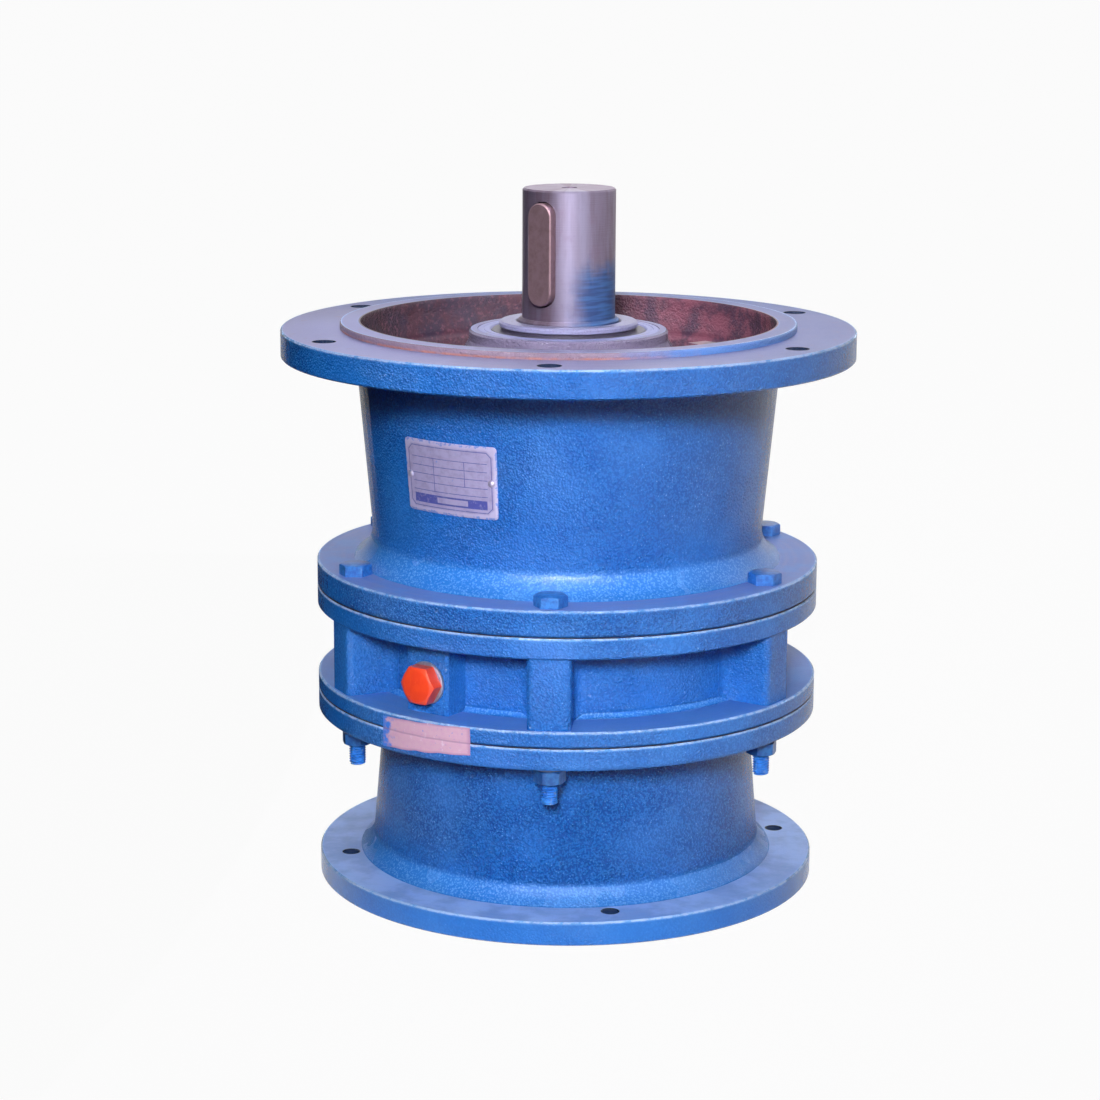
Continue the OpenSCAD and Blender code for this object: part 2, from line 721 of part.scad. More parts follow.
adapter_slope = (adapter_cone_top_d - adapter_cone_foot_d) / 2 / (adapter_flange_z - motor_flange_t);
adapter_foot_fillet = 14;
adapter_top_fillet = 6;
adapter_hub_wall = 12;
adapter_hub_fillet = 5;
adapter_hub_taper = 6;   // height of the taper between the seal's hub and the bearing's
seal_hub_wall = 9;
seal_stop = 3;           // of the stop between the input seal and the bearing
motor_land_r = adapter_cone_foot_d / 2 + 6.5;
adapter_web_z = adapter_h - adapter_web_t;
adapter_hub_r = input_bearing_d / 2 + adapter_hub_wall;
adapter_seal_hub_r = input_seal_d / 2 + seal_hub_wall;
adapter_cavity_fillet = 10;

module motor_adapter() {
    color(casing_blue) difference() {
        union() {
            rotate_extrude() difference() {
                adapter_outline();
                adapter_cavity();
            }
            rotate_extrude() adapter_hub();
            ring(register_r, cavity_r, adapter_h - sink, register_h + sink + gasket_t);
        }
        bar(motor_spigot_d / 2, -cut, motor_spigot_depth + cut);
        bar(input_seal_d / 2, input_seal_z - cut, input_seal_t + cut);
        bar(input_seal_d / 2 - seal_stop, input_seal_z, input_shoulder_t + input_seal_t + cut);
        bar(input_bearing_d / 2, input_bearing_z, adapter_h - input_bearing_z + cut);
        bore_groove(input_bearing_d / 2, input_bearing_top_z);
        around(motor_bolt_count, motor_bolt_phase) translate([motor_bolt_pcd / 2, 0, 0])
            bar(motor_tap_d / 2, -cut, motor_flange_t + adapter_foot_fillet + cut);
        clamp_holes(adapter_flange_z, adapter_flange_t);
    }
}

// Outline of the adapter's flanges and cone, solid to the axis
module adapter_outline() {
    foot_r = adapter_cone_foot_d / 2;
    top_r = adapter_cone_top_d / 2;
    disc_outline(motor_flange_d / 2, 0, motor_flange_t, rim_bevel);
    polygon([[0, motor_flange_t - sink], [foot_r - adapter_slope * sink, motor_flange_t - sink],
        [top_r, adapter_flange_z], [0, adapter_flange_z]]);
    disc_outline(joint_flange_d / 2, adapter_flange_z, adapter_flange_t, rim_bevel);
    faced_fillet(foot_r, motor_flange_t, adapter_slope, adapter_foot_fillet, motor_land_r);
    wall_fillet(top_r, adapter_flange_z, adapter_slope, adapter_top_fillet, -1);
}

// Outline of the open space inside the adapter's cone
module adapter_cavity() {
    low_r = adapter_cone_foot_d / 2 - adapter_wall;
    top_r = low_r + adapter_slope * (adapter_web_z - motor_flange_t);
    fillet = adapter_cavity_fillet;
    difference() {
        polygon([[0, -cut], [low_r, -cut], [low_r, motor_flange_t], [top_r, adapter_web_z],
            [0, adapter_web_z]]);
        difference() {
            translate([top_r - fillet, adapter_web_z - fillet])
                square([fillet + 2 * cut, fillet + cut]);
            translate([top_r - fillet, adapter_web_z - fillet]) circle(r = fillet);
        }
    }
}

// Outline of the adapter's bearing hub, solid to the axis
module adapter_hub() {
    taper_z = input_bearing_z - adapter_hub_taper;
    polygon([[0, input_seal_z], [adapter_seal_hub_r, input_seal_z], [adapter_seal_hub_r, taper_z],
        [adapter_hub_r, taper_z + adapter_hub_taper], [adapter_hub_r, adapter_web_z + sink],
        [0, adapter_web_z + sink]]);
    wall_fillet(adapter_hub_r, adapter_web_z, 0, adapter_hub_fillet, -1);
}

gasket_inset = 0.4;      // of a gasket's edge behind the flanges' rims

module joint_gasket(z) {
    color(paper) difference() {
        ring(joint_flange_d / 2 - gasket_inset, ring_r + ring_pin_d, z, gasket_t);
        clamp_holes(z, gasket_t);
    }
}

module adapter_gasket() {
    joint_gasket(adapter_h);
}

module casing_gasket() {
    joint_gasket(casing_z - gasket_t);
}

// ---- fasteners and fittings ----

module clamp_bolts() {
    r = clamp_bolt_d / 2;
    color(casing_blue) around(clamp_count, clamp_phase)
        translate([clamp_pcd / 2, 0, casing_flange_z]) {
            hex_head(clamp_head_af, clamp_head_h, edge_bevel);
            bar(r, thread_chamfer - clamp_bolt_len, clamp_bolt_len - thread_chamfer);
            translate([0, 0, -clamp_bolt_len])
                cylinder(r1 = r - thread_chamfer, r2 = r, h = thread_chamfer);
        }
}

module clamp_washers() {
    z = adapter_flange_z - clamp_washer_t;
    color(steel) around(clamp_count, clamp_phase) translate([clamp_pcd / 2, 0, 0]) difference() {
        ring(clamp_nut_af / 2 + clamp_washer_rim, clamp_bolt_d / 2 + clamp_washer_gap, z,
            clamp_washer_t);
        rotate(washer_slit_angle) translate([0, -washer_slit_w / 2, z - cut])
            cube([clamp_nut_af, washer_slit_w, clamp_washer_t + 2 * cut]);
    }
}

module clamp_nuts() {
    z = adapter_flange_z - clamp_washer_t - clamp_nut_h;
    color(steel) around(clamp_count, clamp_phase) translate([clamp_pcd / 2, 0, z]) difference() {
        translate([0, 0, clamp_nut_h]) mirror([0, 0, 1])
            hex_head(clamp_nut_af, clamp_nut_h, edge_bevel);
        bar(clamp_bolt_d / 2 + seat_gap, -cut, clamp_nut_h + 2 * cut);
    }
}

module oil_plug() {
    seat = plug_pad_reach - plug_spot_depth + plug_seal_t;
    color(plug_orange) {
        facing(plug_angle, seat, housing_z + plug_z)
            hex_head(plug_af, plug_head_h, plug_chamfer);
        facing(plug_angle, seat - plug_shank_len, housing_z + plug_z)
            cylinder(d = plug_thread_d, h = plug_shank_len + cut);
    }
}

module oil_plug_seal() {
    color(steel) facing(plug_angle, plug_pad_reach - plug_spot_depth, housing_z + plug_z)
        ring(plug_af / 2 + plug_seal_rim, plug_thread_d / 2 + 2 * seat_gap, 0, plug_seal_t);
}

function casing_wall_r(z) = casing_cone_foot_d / 2 + casing_slope * (z - casing_flange_z);
function rivet_wall_r() = casing_wall_r(casing_z + plate_z);
plate_span = plate_w / rivet_wall_r() * 180 / PI;
rivet_inset = 1.6;       // degrees from a plate's end to its rivet
rivet_hole_d = 2.2;
rivet_hole_depth = 4;
rivet_end_gap = 0.5;

module nameplate() {
    low_z = casing_z + plate_z - plate_h / 2;
    top_z = casing_z + plate_z + plate_h / 2;
    low_r = casing_wall_r(low_z) + plate_lift;
    top_r = casing_wall_r(top_z) + plate_lift;
    color(aluminium) difference() {
        rotate(front_angle - plate_span / 2) rotate_extrude(angle = plate_span)
            polygon([[low_r, low_z], [low_r + plate_t, low_z], [top_r + plate_t, top_z],
                [top_r, top_z]]);
        rivet_places() cylinder(d = rivet_hole_d, h = 4 * plate_t, center = true);
    }
}

// Puts its child at each of the plate's rivets, pointing squarely out of the cone
module rivet_places() {
    for (side = [-1, 1])
        facing(front_angle + side * (plate_span / 2 - rivet_inset), rivet_wall_r(),
            casing_z + plate_z, atan(casing_slope)) children();
}

module nameplate_rivets() {
    color(aluminium) rivet_places() {
        translate([0, 0, plate_lift + plate_t + rivet_seat_gap]) intersection() {
            cylinder(d = rivet_d, h = rivet_d);
            translate([0, 0, -rivet_d * 0.45]) sphere(r = rivet_d * 0.67);
        }
        translate([0, 0, rivet_end_gap - rivet_hole_depth])
            cylinder(d = rivet_hole_d - 2 * seat_gap, h = rivet_hole_depth + plate_lift + plate_t);
    }
}

seal_edge = 0.8;         // bevel on the edges of the seals and their carrier
seal_land = 0.3;         // of the output seal's face below the carrier
carrier_groove_r = 3.8;  // the turned line on the carrier, in from its rim
carrier_groove_t = 0.8;
collar_undercut = 1.2;
lip_bevel = 1.5;
lip_relief = 2.5;        // how far the seal's inside stands back from its lips
lip_h = 3;

module seal_carrier() {
    r = seal_carrier_r - seat_gap;
    in_r = output_seal_d / 2;
    groove_r = r - carrier_groove_r;
    half_t = carrier_groove_t / 2;
    color(steel) rotate_extrude() polygon([[in_r, hub_z - seal_carrier_t],
        [r, hub_z - seal_carrier_t], [r, hub_z - seal_edge], [r - seal_edge, hub_z],
        [groove_r + half_t, hub_z], [groove_r, hub_z - half_t], [groove_r - half_t, hub_z],
        [in_r + seal_edge, hub_z], [in_r, hub_z - seal_edge]]);
}

module output_oil_seal() {
    r = output_seal_d / 2 - seat_gap;
    collar_r = seal_collar_d / 2;
    lip_r = seal_journal_d / 2 + seal_gap;
    z = hub_z - seal_carrier_t + seal_land;
    face = hub_z - seal_land;
    top_z = hub_z + seal_collar_h;
    color(rubber) rotate_extrude() polygon([[r, z], [r, face - seal_edge], [r - seal_edge, face],
        [collar_r - collar_undercut, face], [collar_r - collar_undercut, hub_z + seal_edge],
        [collar_r, hub_z + seal_edge + collar_undercut], [collar_r, top_z - collar_undercut],
        [collar_r - collar_undercut, top_z], [lip_r + lip_bevel, top_z],
        [lip_r, top_z - lip_bevel], [lip_r, top_z - lip_relief],
        [lip_r + lip_relief, top_z - lip_relief - lip_bevel], [lip_r + lip_relief, z + lip_h + lip_bevel],
        [lip_r, z + lip_h], [lip_r, z + lip_relief], [lip_r + lip_relief, z]]);
}

module input_oil_seal() {
    r = input_seal_d / 2 - seat_gap;
    lip_r = input_bearing_bore / 2 + seal_gap;
    z = input_seal_z;
    top_z = z + input_seal_t - seal_gap;
    color(rubber) rotate_extrude() polygon([[r, z], [r, top_z], [lip_r + lip_relief, top_z],
        [lip_r + lip_relief, z + lip_h + lip_bevel], [lip_r, z + lip_h], [lip_r, z + lip_relief],
        [lip_r + lip_relief, z]]);
}

// ---- bearings ----

module input_bearing_outer_ring() {
    color(bright_steel)
        outer_race(input_bearing_bore, input_bearing_d, input_bearing_z, input_bearing_w);
}

module input_bearing_inner_ring() {
    color(bright_steel)
        inner_race(input_bearing_bore, input_bearing_d, input_bearing_z, input_bearing_w);
}

module input_bearing_balls() {
    color(bright_steel) balls(input_bearing_bore, input_bearing_d, input_bearing_z, input_bearing_w);
}

module input_bearing_cage() {
    color(brass) ball_cage(input_bearing_bore, input_bearing_d, input_bearing_z, input_bearing_w);
}

module input_bearing_circlip() {
    bore_circlip(input_bearing_d / 2, input_bearing_top_z);
}

module lower_bearing_outer_ring() {
    color(bright_steel) outer_race(low_bearing_bore, low_bearing_d, low_bearing_z, low_bearing_w);
}

module lower_bearing_inner_ring() {
    color(bright_steel) inner_race(low_bearing_bore, low_bearing_d, low_bearing_z, low_bearing_w);
}

module lower_bearing_balls() {
    color(bright_steel) balls(low_bearing_bore, low_bearing_d, low_bearing_z, low_bearing_w);
}

module lower_bearing_cage() {
    color(brass) ball_cage(low_bearing_bore, low_bearing_d, low_bearing_z, low_bearing_w);
}

module lower_bearing_circlip() {
    bore_circlip(low_bearing_d / 2, low_bearing_z - circlip_t);
}

module upper_bearing_outer_ring() {
    color(bright_steel) outer_race(top_bearing_bore, top_bearing_d, top_bearing_z, top_bearing_w);
}

module upper_bearing_inner_ring() {
    color(bright_steel) inner_race(top_bearing_bore, top_bearing_d, top_bearing_z, top_bearing_w);
}

module upper_bearing_balls() {
    color(bright_steel) balls(top_bearing_bore, top_bearing_d, top_bearing_z, top_bearing_w);
}

module upper_bearing_cage() {
    color(brass) ball_cage(top_bearing_bore, top_bearing_d, top_bearing_z, top_bearing_w);
}

module pilot_bearing_outer_ring() {
    color(bright_steel) outer_race(eccentric_seat_d, pilot_bearing_d, pilot_bearing_z, pilot_bearing_w);
}

module pilot_bearing_inner_ring() {
    color(bright_steel) inner_race(eccentric_seat_d, pilot_bearing_d, pilot_bearing_z, pilot_bearing_w);
}

module pilot_bearing_balls() {
    color(bright_steel) balls(eccentric_seat_d, pilot_bearing_d, pilot_bearing_z, pilot_bearing_w);
}

module pilot_bearing_cage() {
    color(brass) ball_cage(eccentric_seat_d, pilot_bearing_d, pilot_bearing_z, pilot_bearing_w);
}

// ---- output shaft ----

spacer_journal_r = low_bearing_bore / 2 - 0.5;
shoulder_r = low_bearing_bore / 2 + 6;
key_mid_z = shaft_top_z - key_inset - key_len / 2;
key_seat_r = shaft_d / 2 - keyseat_depth;
shaft_clip_band = 4;
centre_drill_r = 2.5;
centre_cone_h = 4;
centre_depth = 12;

module output_shaft() {
    color(steel) difference() {
        rotate(shaft_seam_turn) rotate_extrude() difference() {
            output_shaft_outline();
            shaft_groove(seal_journal_d / 2, top_bearing_top_z);
        }
        bar(pilot_bearing_d / 2, pin_disc_z - cut, pilot_bearing_top_z - pin_disc_z + cut);
        bar(pilot_bearing_d / 2 - pilot_shoulder, pilot_bearing_top_z - cut, pilot_relief + cut);
        around(output_pin_count) translate([output_r, 0, 0])
            bar(output_pin_d / 2, pin_disc_z - cut, pin_disc_t + 2 * cut);
        facing(front_angle, key_seat_r, key_mid_z) rotate(180)
            round_ended_bar(key_len + 2 * keyseat_end_gap, key_w + 2 * key_gap,
                keyseat_depth + cut, 0);
        centre_hole();
    }
}

module output_shaft_outline() {
    foot = shaft_shoulder_bevel;
    step = shaft_step_bevel;
    polygon([[0, pin_disc_z], [pin_disc_r, pin_disc_z], [pin_disc_r, pin_disc_top_z],
        [shoulder_r + foot, pin_disc_top_z], [shoulder_r, pin_disc_top_z + foot],
        [shoulder_r, low_bearing_z], [low_bearing_bore / 2, low_bearing_z],
        [low_bearing_bore / 2, low_bearing_top_z], [spacer_journal_r, low_bearing_top_z],
        [spacer_journal_r, top_bearing_z], [seal_journal_d / 2, top_bearing_z],
        [seal_journal_d / 2, shaft_step_z - step], [seal_journal_d / 2 - step, shaft_step_z],
        [shaft_d / 2, shaft_step_z], [shaft_d / 2, shaft_top_z - shaft_chamfer],
        [shaft_d / 2 - shaft_chamfer, shaft_top_z], [0, shaft_top_z]]);
}

// Centre drilled in the end of the output shaft
module centre_hole() {
    bar(centre_drill_r, shaft_top_z - centre_depth, centre_depth + cut);
    translate([0, 0, shaft_top_z - centre_cone_h])
        cylinder(r1 = centre_drill_r, r2 = centre_drill_r + (centre_cone_h + cut) * tan(30),
            h = centre_cone_h + cut);
}

module output_key() {
    color(dark_steel) facing(front_angle, key_seat_r + seat_gap, key_mid_z) rotate(180)
        round_ended_bar(key_len, key_w, key_h, seal_edge);
}

output_pin_inset = 1.5;  // from the adapter's face to the pins' ends
tight_ring_inset = 2.5;  // from the pin disc's faces to the tightening ring's
spacer_gap = 0.2;
bearing_spacer_t = 5;

module output_pins() {
    z = adapter_h + output_pin_inset;
    color(bright_steel) around(output_pin_count) translate([output_r, 0, 0])
        bar(output_pin_d / 2 - seat_gap, z, pin_disc_top_z - z);
}

module output_rollers() {
    z = adapter_h + pin_end_gap;
    color(bright_steel) around(output_pin_count) translate([output_r, 0, 0])
        ring(output_roller_d / 2, output_pin_d / 2, z, pin_disc_z - pin_end_gap - z);
}

module tightening_ring() {
    color(dark_steel) ring(tight_ring_r, pin_disc_r + seat_gap, pin_disc_z + tight_ring_inset,
        pin_disc_t - 2 * tight_ring_inset);
}

module disc_spacer() {
    outer_r = output_r - output_roller_d / 2 - spacer_gap;
    inner_r = eccentric_race_r + eccentricity + 5 * spacer_gap;
    color(dark_steel) ring(outer_r, inner_r, low_disc_z + cycloid_disc_t + spacer_gap,
        disc_gap - 2 * spacer_gap);
}

module bearing_spacer() {
    color(dark_steel) ring(spacer_journal_r + bearing_spacer_t, spacer_journal_r + seat_gap,
        low_bearing_top_z, top_bearing_z - low_bearing_top_z);
}

module output_shaft_circlip() {
    shaft_circlip(seal_journal_d / 2, top_bearing_top_z, shaft_clip_band);
}

// ---- input shaft ----

input_r = input_bearing_bore / 2;
seat_r = eccentric_seat_d / 2;
collar_r = input_r + 5;
collar_h = 4;
neck_r = seat_r + 5;
input_clip_band = 3;

module input_shaft() {
    color(steel) difference() {
        rotate_extrude() difference() {
            polygon([[0, input_mouth_z], [input_r - edge_bevel, input_mouth_z],
                [input_r, input_mouth_z + edge_bevel], [input_r, input_bearing_top_z],
                [collar_r, input_bearing_top_z], [collar_r, input_bearing_top_z + collar_h],
                [neck_r, input_bearing_top_z + collar_h], [neck_r, sleeve_z], [seat_r, sleeve_z],
                [seat_r, input_shaft_top_z - edge_bevel], [seat_r - edge_bevel, input_shaft_top_z],
                [0, input_shaft_top_z]]);
            shaft_groove(input_r, input_bearing_z - circlip_t);
            shaft_groove(seat_r, pilot_bearing_top_z);
        }
        bar(motor_shaft_d / 2, input_mouth_z - cut, motor_bore_z - input_mouth_z + cut);
        translate([0, -motor_key_w / 2, input_mouth_z - cut])
            cube([motor_shaft_d / 2 + motor_key_rise, motor_key_w,
                motor_bore_z - input_mouth_z - motor_key_inset + cut]);
        sleeve_keyseat();
    }
}

sleeve_key_len = 30;
sleeve_key_depth = 5;
sleeve_key_bevel = 0.4;
sleeve_end_gap = 0.5;    // of the journals outside the discs

// Keyseat of the eccentric sleeve, on the -Y side of the input shaft
module sleeve_keyseat() {
    facing(-90, seat_r - sleeve_key_depth, drive_z) rotate(180)
        round_ended_bar(sleeve_key_len + 2 * key_gap, sleeve_key_w + 2 * seat_gap,
            sleeve_key_depth + cut, 0);
}

module eccentric_key() {
    color(dark_steel) facing(-90, seat_r - sleeve_key_depth + seat_gap, drive_z) rotate(180)
        round_ended_bar(sleeve_key_len, sleeve_key_w,
            sleeve_key_depth + sleeve_key_rise - 2 * seat_gap, sleeve_key_bevel);
}

module eccentric_sleeve() {
    journal_r = eccentric_journal_d / 2;
    low_end_z = low_disc_z - sleeve_end_gap;
    top_end_z = top_disc_z + cycloid_disc_t + sleeve_end_gap;
    color(steel) difference() {
        union() {
            bar(neck_r, sleeve_z, pilot_bearing_z - sleeve_z);
            translate([eccentricity, 0, 0]) bar(journal_r, low_end_z, drive_z - low_end_z);
            translate([-eccentricity, 0, 0]) bar(journal_r, drive_z, top_end_z - drive_z);
            bar(journal_r + eccentricity + collar_rim, drive_z - disc_gap / 2 + sleeve_end_gap,
                disc_gap - 2 * sleeve_end_gap);
        }
        bar(seat_r + seat_gap, sleeve_z - cut, pilot_bearing_z - sleeve_z + 2 * cut);
        translate([-sleeve_key_w / 2 - seat_gap, -seat_r - sleeve_key_rise, sleeve_z - cut])
            cube([sleeve_key_w + 2 * seat_gap, seat_r, pilot_bearing_z - sleeve_z + 2 * cut]);
    }
}

module input_shaft_circlip() {
    shaft_circlip(input_r, input_bearing_z - circlip_t, input_clip_band);
}

module pilot_circlip() {
    shaft_circlip(seat_r, pilot_bearing_top_z, input_clip_band);
}

// ---- cycloid drive ----

module ring_pins() {
    color(bright_steel) around(ring_pin_count) translate([ring_r, 0, 0])
        bar(ring_pin_d / 2, housing_z + pin_end_gap, housing_h - 2 * pin_end_gap);
}

module ring_rollers() {
    z = housing_z + pin_ledge_t + pin_end_gap;
    color(bright_steel) around(ring_pin_count) translate([ring_r, 0, 0])
        ring(ring_roller_r, ring_pin_d / 2 + seat_gap, z,
            housing_h - 2 * pin_ledge_t - 2 * pin_end_gap);
}

// Direction from a ring roller's centre to its contact on the disc, for the roll angle t
function contact_turn(t) =
    atan2(sin(lobe_count * -t), ring_r / (eccentricity * ring_pin_count) - cos(lobe_count * t));

// Point of the disc's edge: the curve that the ring rollers wrap, offset by their radius
function cycloid_point(t) = let (turn = t + contact_turn(t), wobble = ring_pin_count * t) [
    ring_r * cos(t) - cycloid_roller_r * cos(turn) - eccentricity * cos(wobble),
    cycloid_roller_r * sin(turn) + eccentricity * sin(wobble) - ring_r * sin(t)
];

function cycloid_outline() =
    let (steps = lobe_count * points_per_lobe)
    [for (i = [0 : steps - 1]) cycloid_point(i * 360 / steps)];

// Disc centred on its own eccentric journal, with a valley of its edge on the +X side
module cycloid_disc(z) {
    translate([0, 0, z]) difference() {
        linear_extrude(cycloid_disc_t) polygon(cycloid_outline());
        bar(eccentric_race_r, -cut, cycloid_disc_t + 2 * cut);
        around(output_pin_count) translate([output_r, 0, 0])
            bar(pin_hole_r, -cut, cycloid_disc_t + 2 * cut);
    }
}

module lower_cycloid_disc() {
    color(steel) translate([eccentricity, 0, 0]) cycloid_disc(low_disc_z);
}

module upper_cycloid_disc() {
    color(steel) translate([-eccentricity, 0, 0]) rotate(180) cycloid_disc(top_disc_z);
}

module eccentric_rollers(z) {
    around(eccentric_roller_count) translate([eccentric_pitch_r, 0, 0])
        bar(eccentric_roller_d / 2, z + eccentric_roller_inset, eccentric_roller_len);
}

module eccentric_cage(z) {
    difference() {
        ring(eccentric_pitch_r + eccentric_cage_half_t, eccentric_pitch_r - eccentric_cage_half_t,
            z + eccentric_cage_inset, eccentric_cage_w);
        around(eccentric_roller_count) translate([eccentric_pitch_r, 0, 0])
            bar(eccentric_roller_d / 2 + eccentric_window_gap / 2,
                z + eccentric_roller_inset - eccentric_window_gap,
                eccentric_roller_len + 2 * eccentric_window_gap);
    }
}

module lower_eccentric_rollers() {
    color(bright_steel) translate([eccentricity, 0, 0]) eccentric_rollers(low_disc_z);
}

module lower_eccentric_cage() {
    color(brass) translate([eccentricity, 0, 0]) eccentric_cage(low_disc_z);
}

module upper_eccentric_rollers() {
    color(bright_steel) translate([-eccentricity, 0, 0]) eccentric_rollers(top_disc_z);
}

module upper_eccentric_cage() {
    color(brass) translate([-eccentricity, 0, 0]) eccentric_cage(top_disc_z);
}

// ---- the nodes ----

motor_adapter();
adapter_gasket();
pin_housing();
casing_gasket();
output_casing();
clamp_bolts();
clamp_washers();
clamp_nuts();
oil_plug();
oil_plug_seal();
nameplate();
nameplate_rivets();
seal_carrier();
output_oil_seal();
input_oil_seal();
input_bearing_outer_ring();
input_bearing_circlip();
lower_bearing_outer_ring();
lower_bearing_circlip();
upper_bearing_outer_ring();
ring_pins();
ring_rollers();
output_shaft();
output_key();
output_pins();
output_rollers();
tightening_ring();
disc_spacer();
bearing_spacer();
lower_bearing_inner_ring();
upper_bearing_inner_ring();
output_shaft_circlip();
pilot_bearing_outer_ring();
input_shaft();
eccentric_sleeve();
eccentric_key();
input_bearing_inner_ring();
input_shaft_circlip();
pilot_bearing_inner_ring();
pilot_circlip();
lower_cycloid_disc();
upper_cycloid_disc();
lower_eccentric_rollers();
lower_eccentric_cage();
upper_eccentric_rollers();
upper_eccentric_cage();
input_bearing_balls();
input_bearing_cage();
pilot_bearing_balls();
pilot_bearing_cage();
lower_bearing_balls();
lower_bearing_cage();
upper_bearing_balls();
upper_bearing_cage();
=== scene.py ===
"""Looks of a vertical cycloidal reducer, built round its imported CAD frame.

Every size is in metres. Pieces made here are surfaces worked out with numpy, each a function of
two parameters on a grid, and every finish is made of shader nodes.
"""

import math
from functools import reduce

import bpy
import numpy as np
from bpy.props import FloatProperty, FloatVectorProperty, IntProperty, PointerProperty
from mathutils import Matrix, Vector


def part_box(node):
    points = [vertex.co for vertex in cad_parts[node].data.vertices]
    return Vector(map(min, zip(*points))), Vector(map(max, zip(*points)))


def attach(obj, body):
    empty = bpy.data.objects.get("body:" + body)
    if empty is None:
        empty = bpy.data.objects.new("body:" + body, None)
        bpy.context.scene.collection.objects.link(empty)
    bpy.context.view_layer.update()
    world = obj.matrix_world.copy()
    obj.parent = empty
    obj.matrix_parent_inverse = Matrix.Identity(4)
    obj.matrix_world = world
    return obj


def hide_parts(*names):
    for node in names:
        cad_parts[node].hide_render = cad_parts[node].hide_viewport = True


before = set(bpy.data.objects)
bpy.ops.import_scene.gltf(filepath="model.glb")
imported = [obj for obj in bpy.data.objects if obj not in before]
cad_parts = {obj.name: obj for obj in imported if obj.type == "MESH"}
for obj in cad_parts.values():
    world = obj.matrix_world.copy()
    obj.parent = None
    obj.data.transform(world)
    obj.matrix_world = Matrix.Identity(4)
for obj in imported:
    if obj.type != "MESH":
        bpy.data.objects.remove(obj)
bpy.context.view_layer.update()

bl_info = {
    "name": "Cycloidal reducer looks",
    "version": (1, 0, 0),
    "blender": (4, 5, 0),
    "location": "3D View > Sidebar > Reducer",
    "description": "Dresses a packed cycloidal reducer in enamel, steel and small fittings",
    "category": "Object",
}

MM = 0.001
CREASE = math.radians(32)


def srgb(red, green, blue):
    """Linear colour of an 8-bit display colour: a straight line below 0.04045, else a power."""
    parts = []
    for part in (red, green, blue):
        share = part / 255
        parts.append(share / 12.92 if share <= 0.04045 else ((share + 0.055) / 1.055) ** 2.4)
    return tuple(parts)


def opaque(colour):
    """The same colour with full alpha, as colour sockets want it."""
    return (*tuple(colour)[:3], 1.0)


# ---- measures read from the frame ----

def low(node):
    """Lowest corner of a CAD node's box."""
    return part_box(node)[0]


def high(node):
    """Highest corner of a CAD node's box."""
    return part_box(node)[1]


JOINT_RIM = high("pin_housing").x                      # radius of the three joint flanges
OUTPUT_RIM = high("output_casing").x                   # radius of the output flange
SPIGOT_TOP = high("output_casing").z
ADAPTER_TOP = low("adapter_gasket").z                  # face between adapter and pin housing
HOUSING_FOOT = low("pin_housing").z
HOUSING_TOP = high("pin_housing").z
CASING_FOOT = high("casing_gasket").z
BOLT_HEAD_TOP = high("clamp_bolts").z
BOLT_TIP = low("clamp_bolts").z
NUT_FOOT = low("clamp_nuts").z
NUT_TOP = high("clamp_nuts").z
WASHER_TOP = high("clamp_washers").z
SHAFT_TOP = high("output_shaft").z
PLATE_FOOT = low("nameplate").z
PLATE_TOP = high("nameplate").z
PLUG_MID = (low("oil_plug").z + high("oil_plug").z) / 2

# ---- measures of the castings that no box gives ----

SPIGOT_R = 135 * MM
FLANGE_TOP = SPIGOT_TOP - 4 * MM                       # face of the output flange
FLANGE_FOOT = SPIGOT_TOP - 21 * MM
MOUTH_R = 123 * MM                                     # mouth of the bowl
HUB_R, HUB_TOP = 59 * MM, 331 * MM
CASING_LEDGE = CASING_FOOT + 15.1 * MM                 # top of the casing's lower flange
CONE_FOOT_R = 115 * MM                                 # casing's cone where it leaves the ledge
CONE_SLOPE = 11 / 120.9                                # how much it widens over its height
HOUSING_LEDGE = HOUSING_FOOT + 9.3 * MM                # top of the pin housing's lower flange
MOTOR_FLANGE_TOP = 14 * MM
SEAL_LIP_R = 30 * MM                                   # lip of the output oil seal's collar


# ---- sizes and colours a user may change ----

class CastingSettings(bpy.types.PropertyGroup):
    enamel: FloatVectorProperty(
        name="Enamel", description="Body colour of the hammered enamel",
        default=srgb(22, 108, 200), subtype="COLOR", min=0, max=1)
    # painted highlight: this colour is laid on the tops of the drops to stand in for light on
    # them; it also tints pale clouds in the enamel
    enamel_pale_and_highlight: FloatVectorProperty(
        name="Light drops", description="Colour of the raised drops of the enamel",
        default=srgb(120, 194, 255), subtype="COLOR", min=0, max=1)
    # painted shade: this colour is laid in the pits between the drops to stand in for shade there;
    # it also darkens paint runs and the fasteners' mottling
    enamel_dark_and_shade: FloatVectorProperty(
        name="Deep pits", description="Colour in the pits and runs of the enamel",
        default=srgb(6, 64, 150), subtype="COLOR", min=0, max=1)
    faced: FloatVectorProperty(
        name="Faced flanges", description="Thin mist of enamel on the machined faces",
        default=srgb(116, 118, 168), subtype="COLOR", min=0, max=1)
    oxide: FloatVectorProperty(
        name="Bowl primer", description="Red-brown primer inside the bowl",
        default=srgb(92, 60, 76), subtype="COLOR", min=0, max=1)
    drop_size: FloatProperty(
        name="Drop size", description="Width of one drop of the hammered enamel",
        default=1.4 * MM, unit="LENGTH", min=0.5 * MM, max=8 * MM)
    drop_height: FloatProperty(
        name="Drop height", description="Height of the drops on the rough castings",
        default=2.1 * MM, unit="LENGTH", min=0, max=4 * MM)


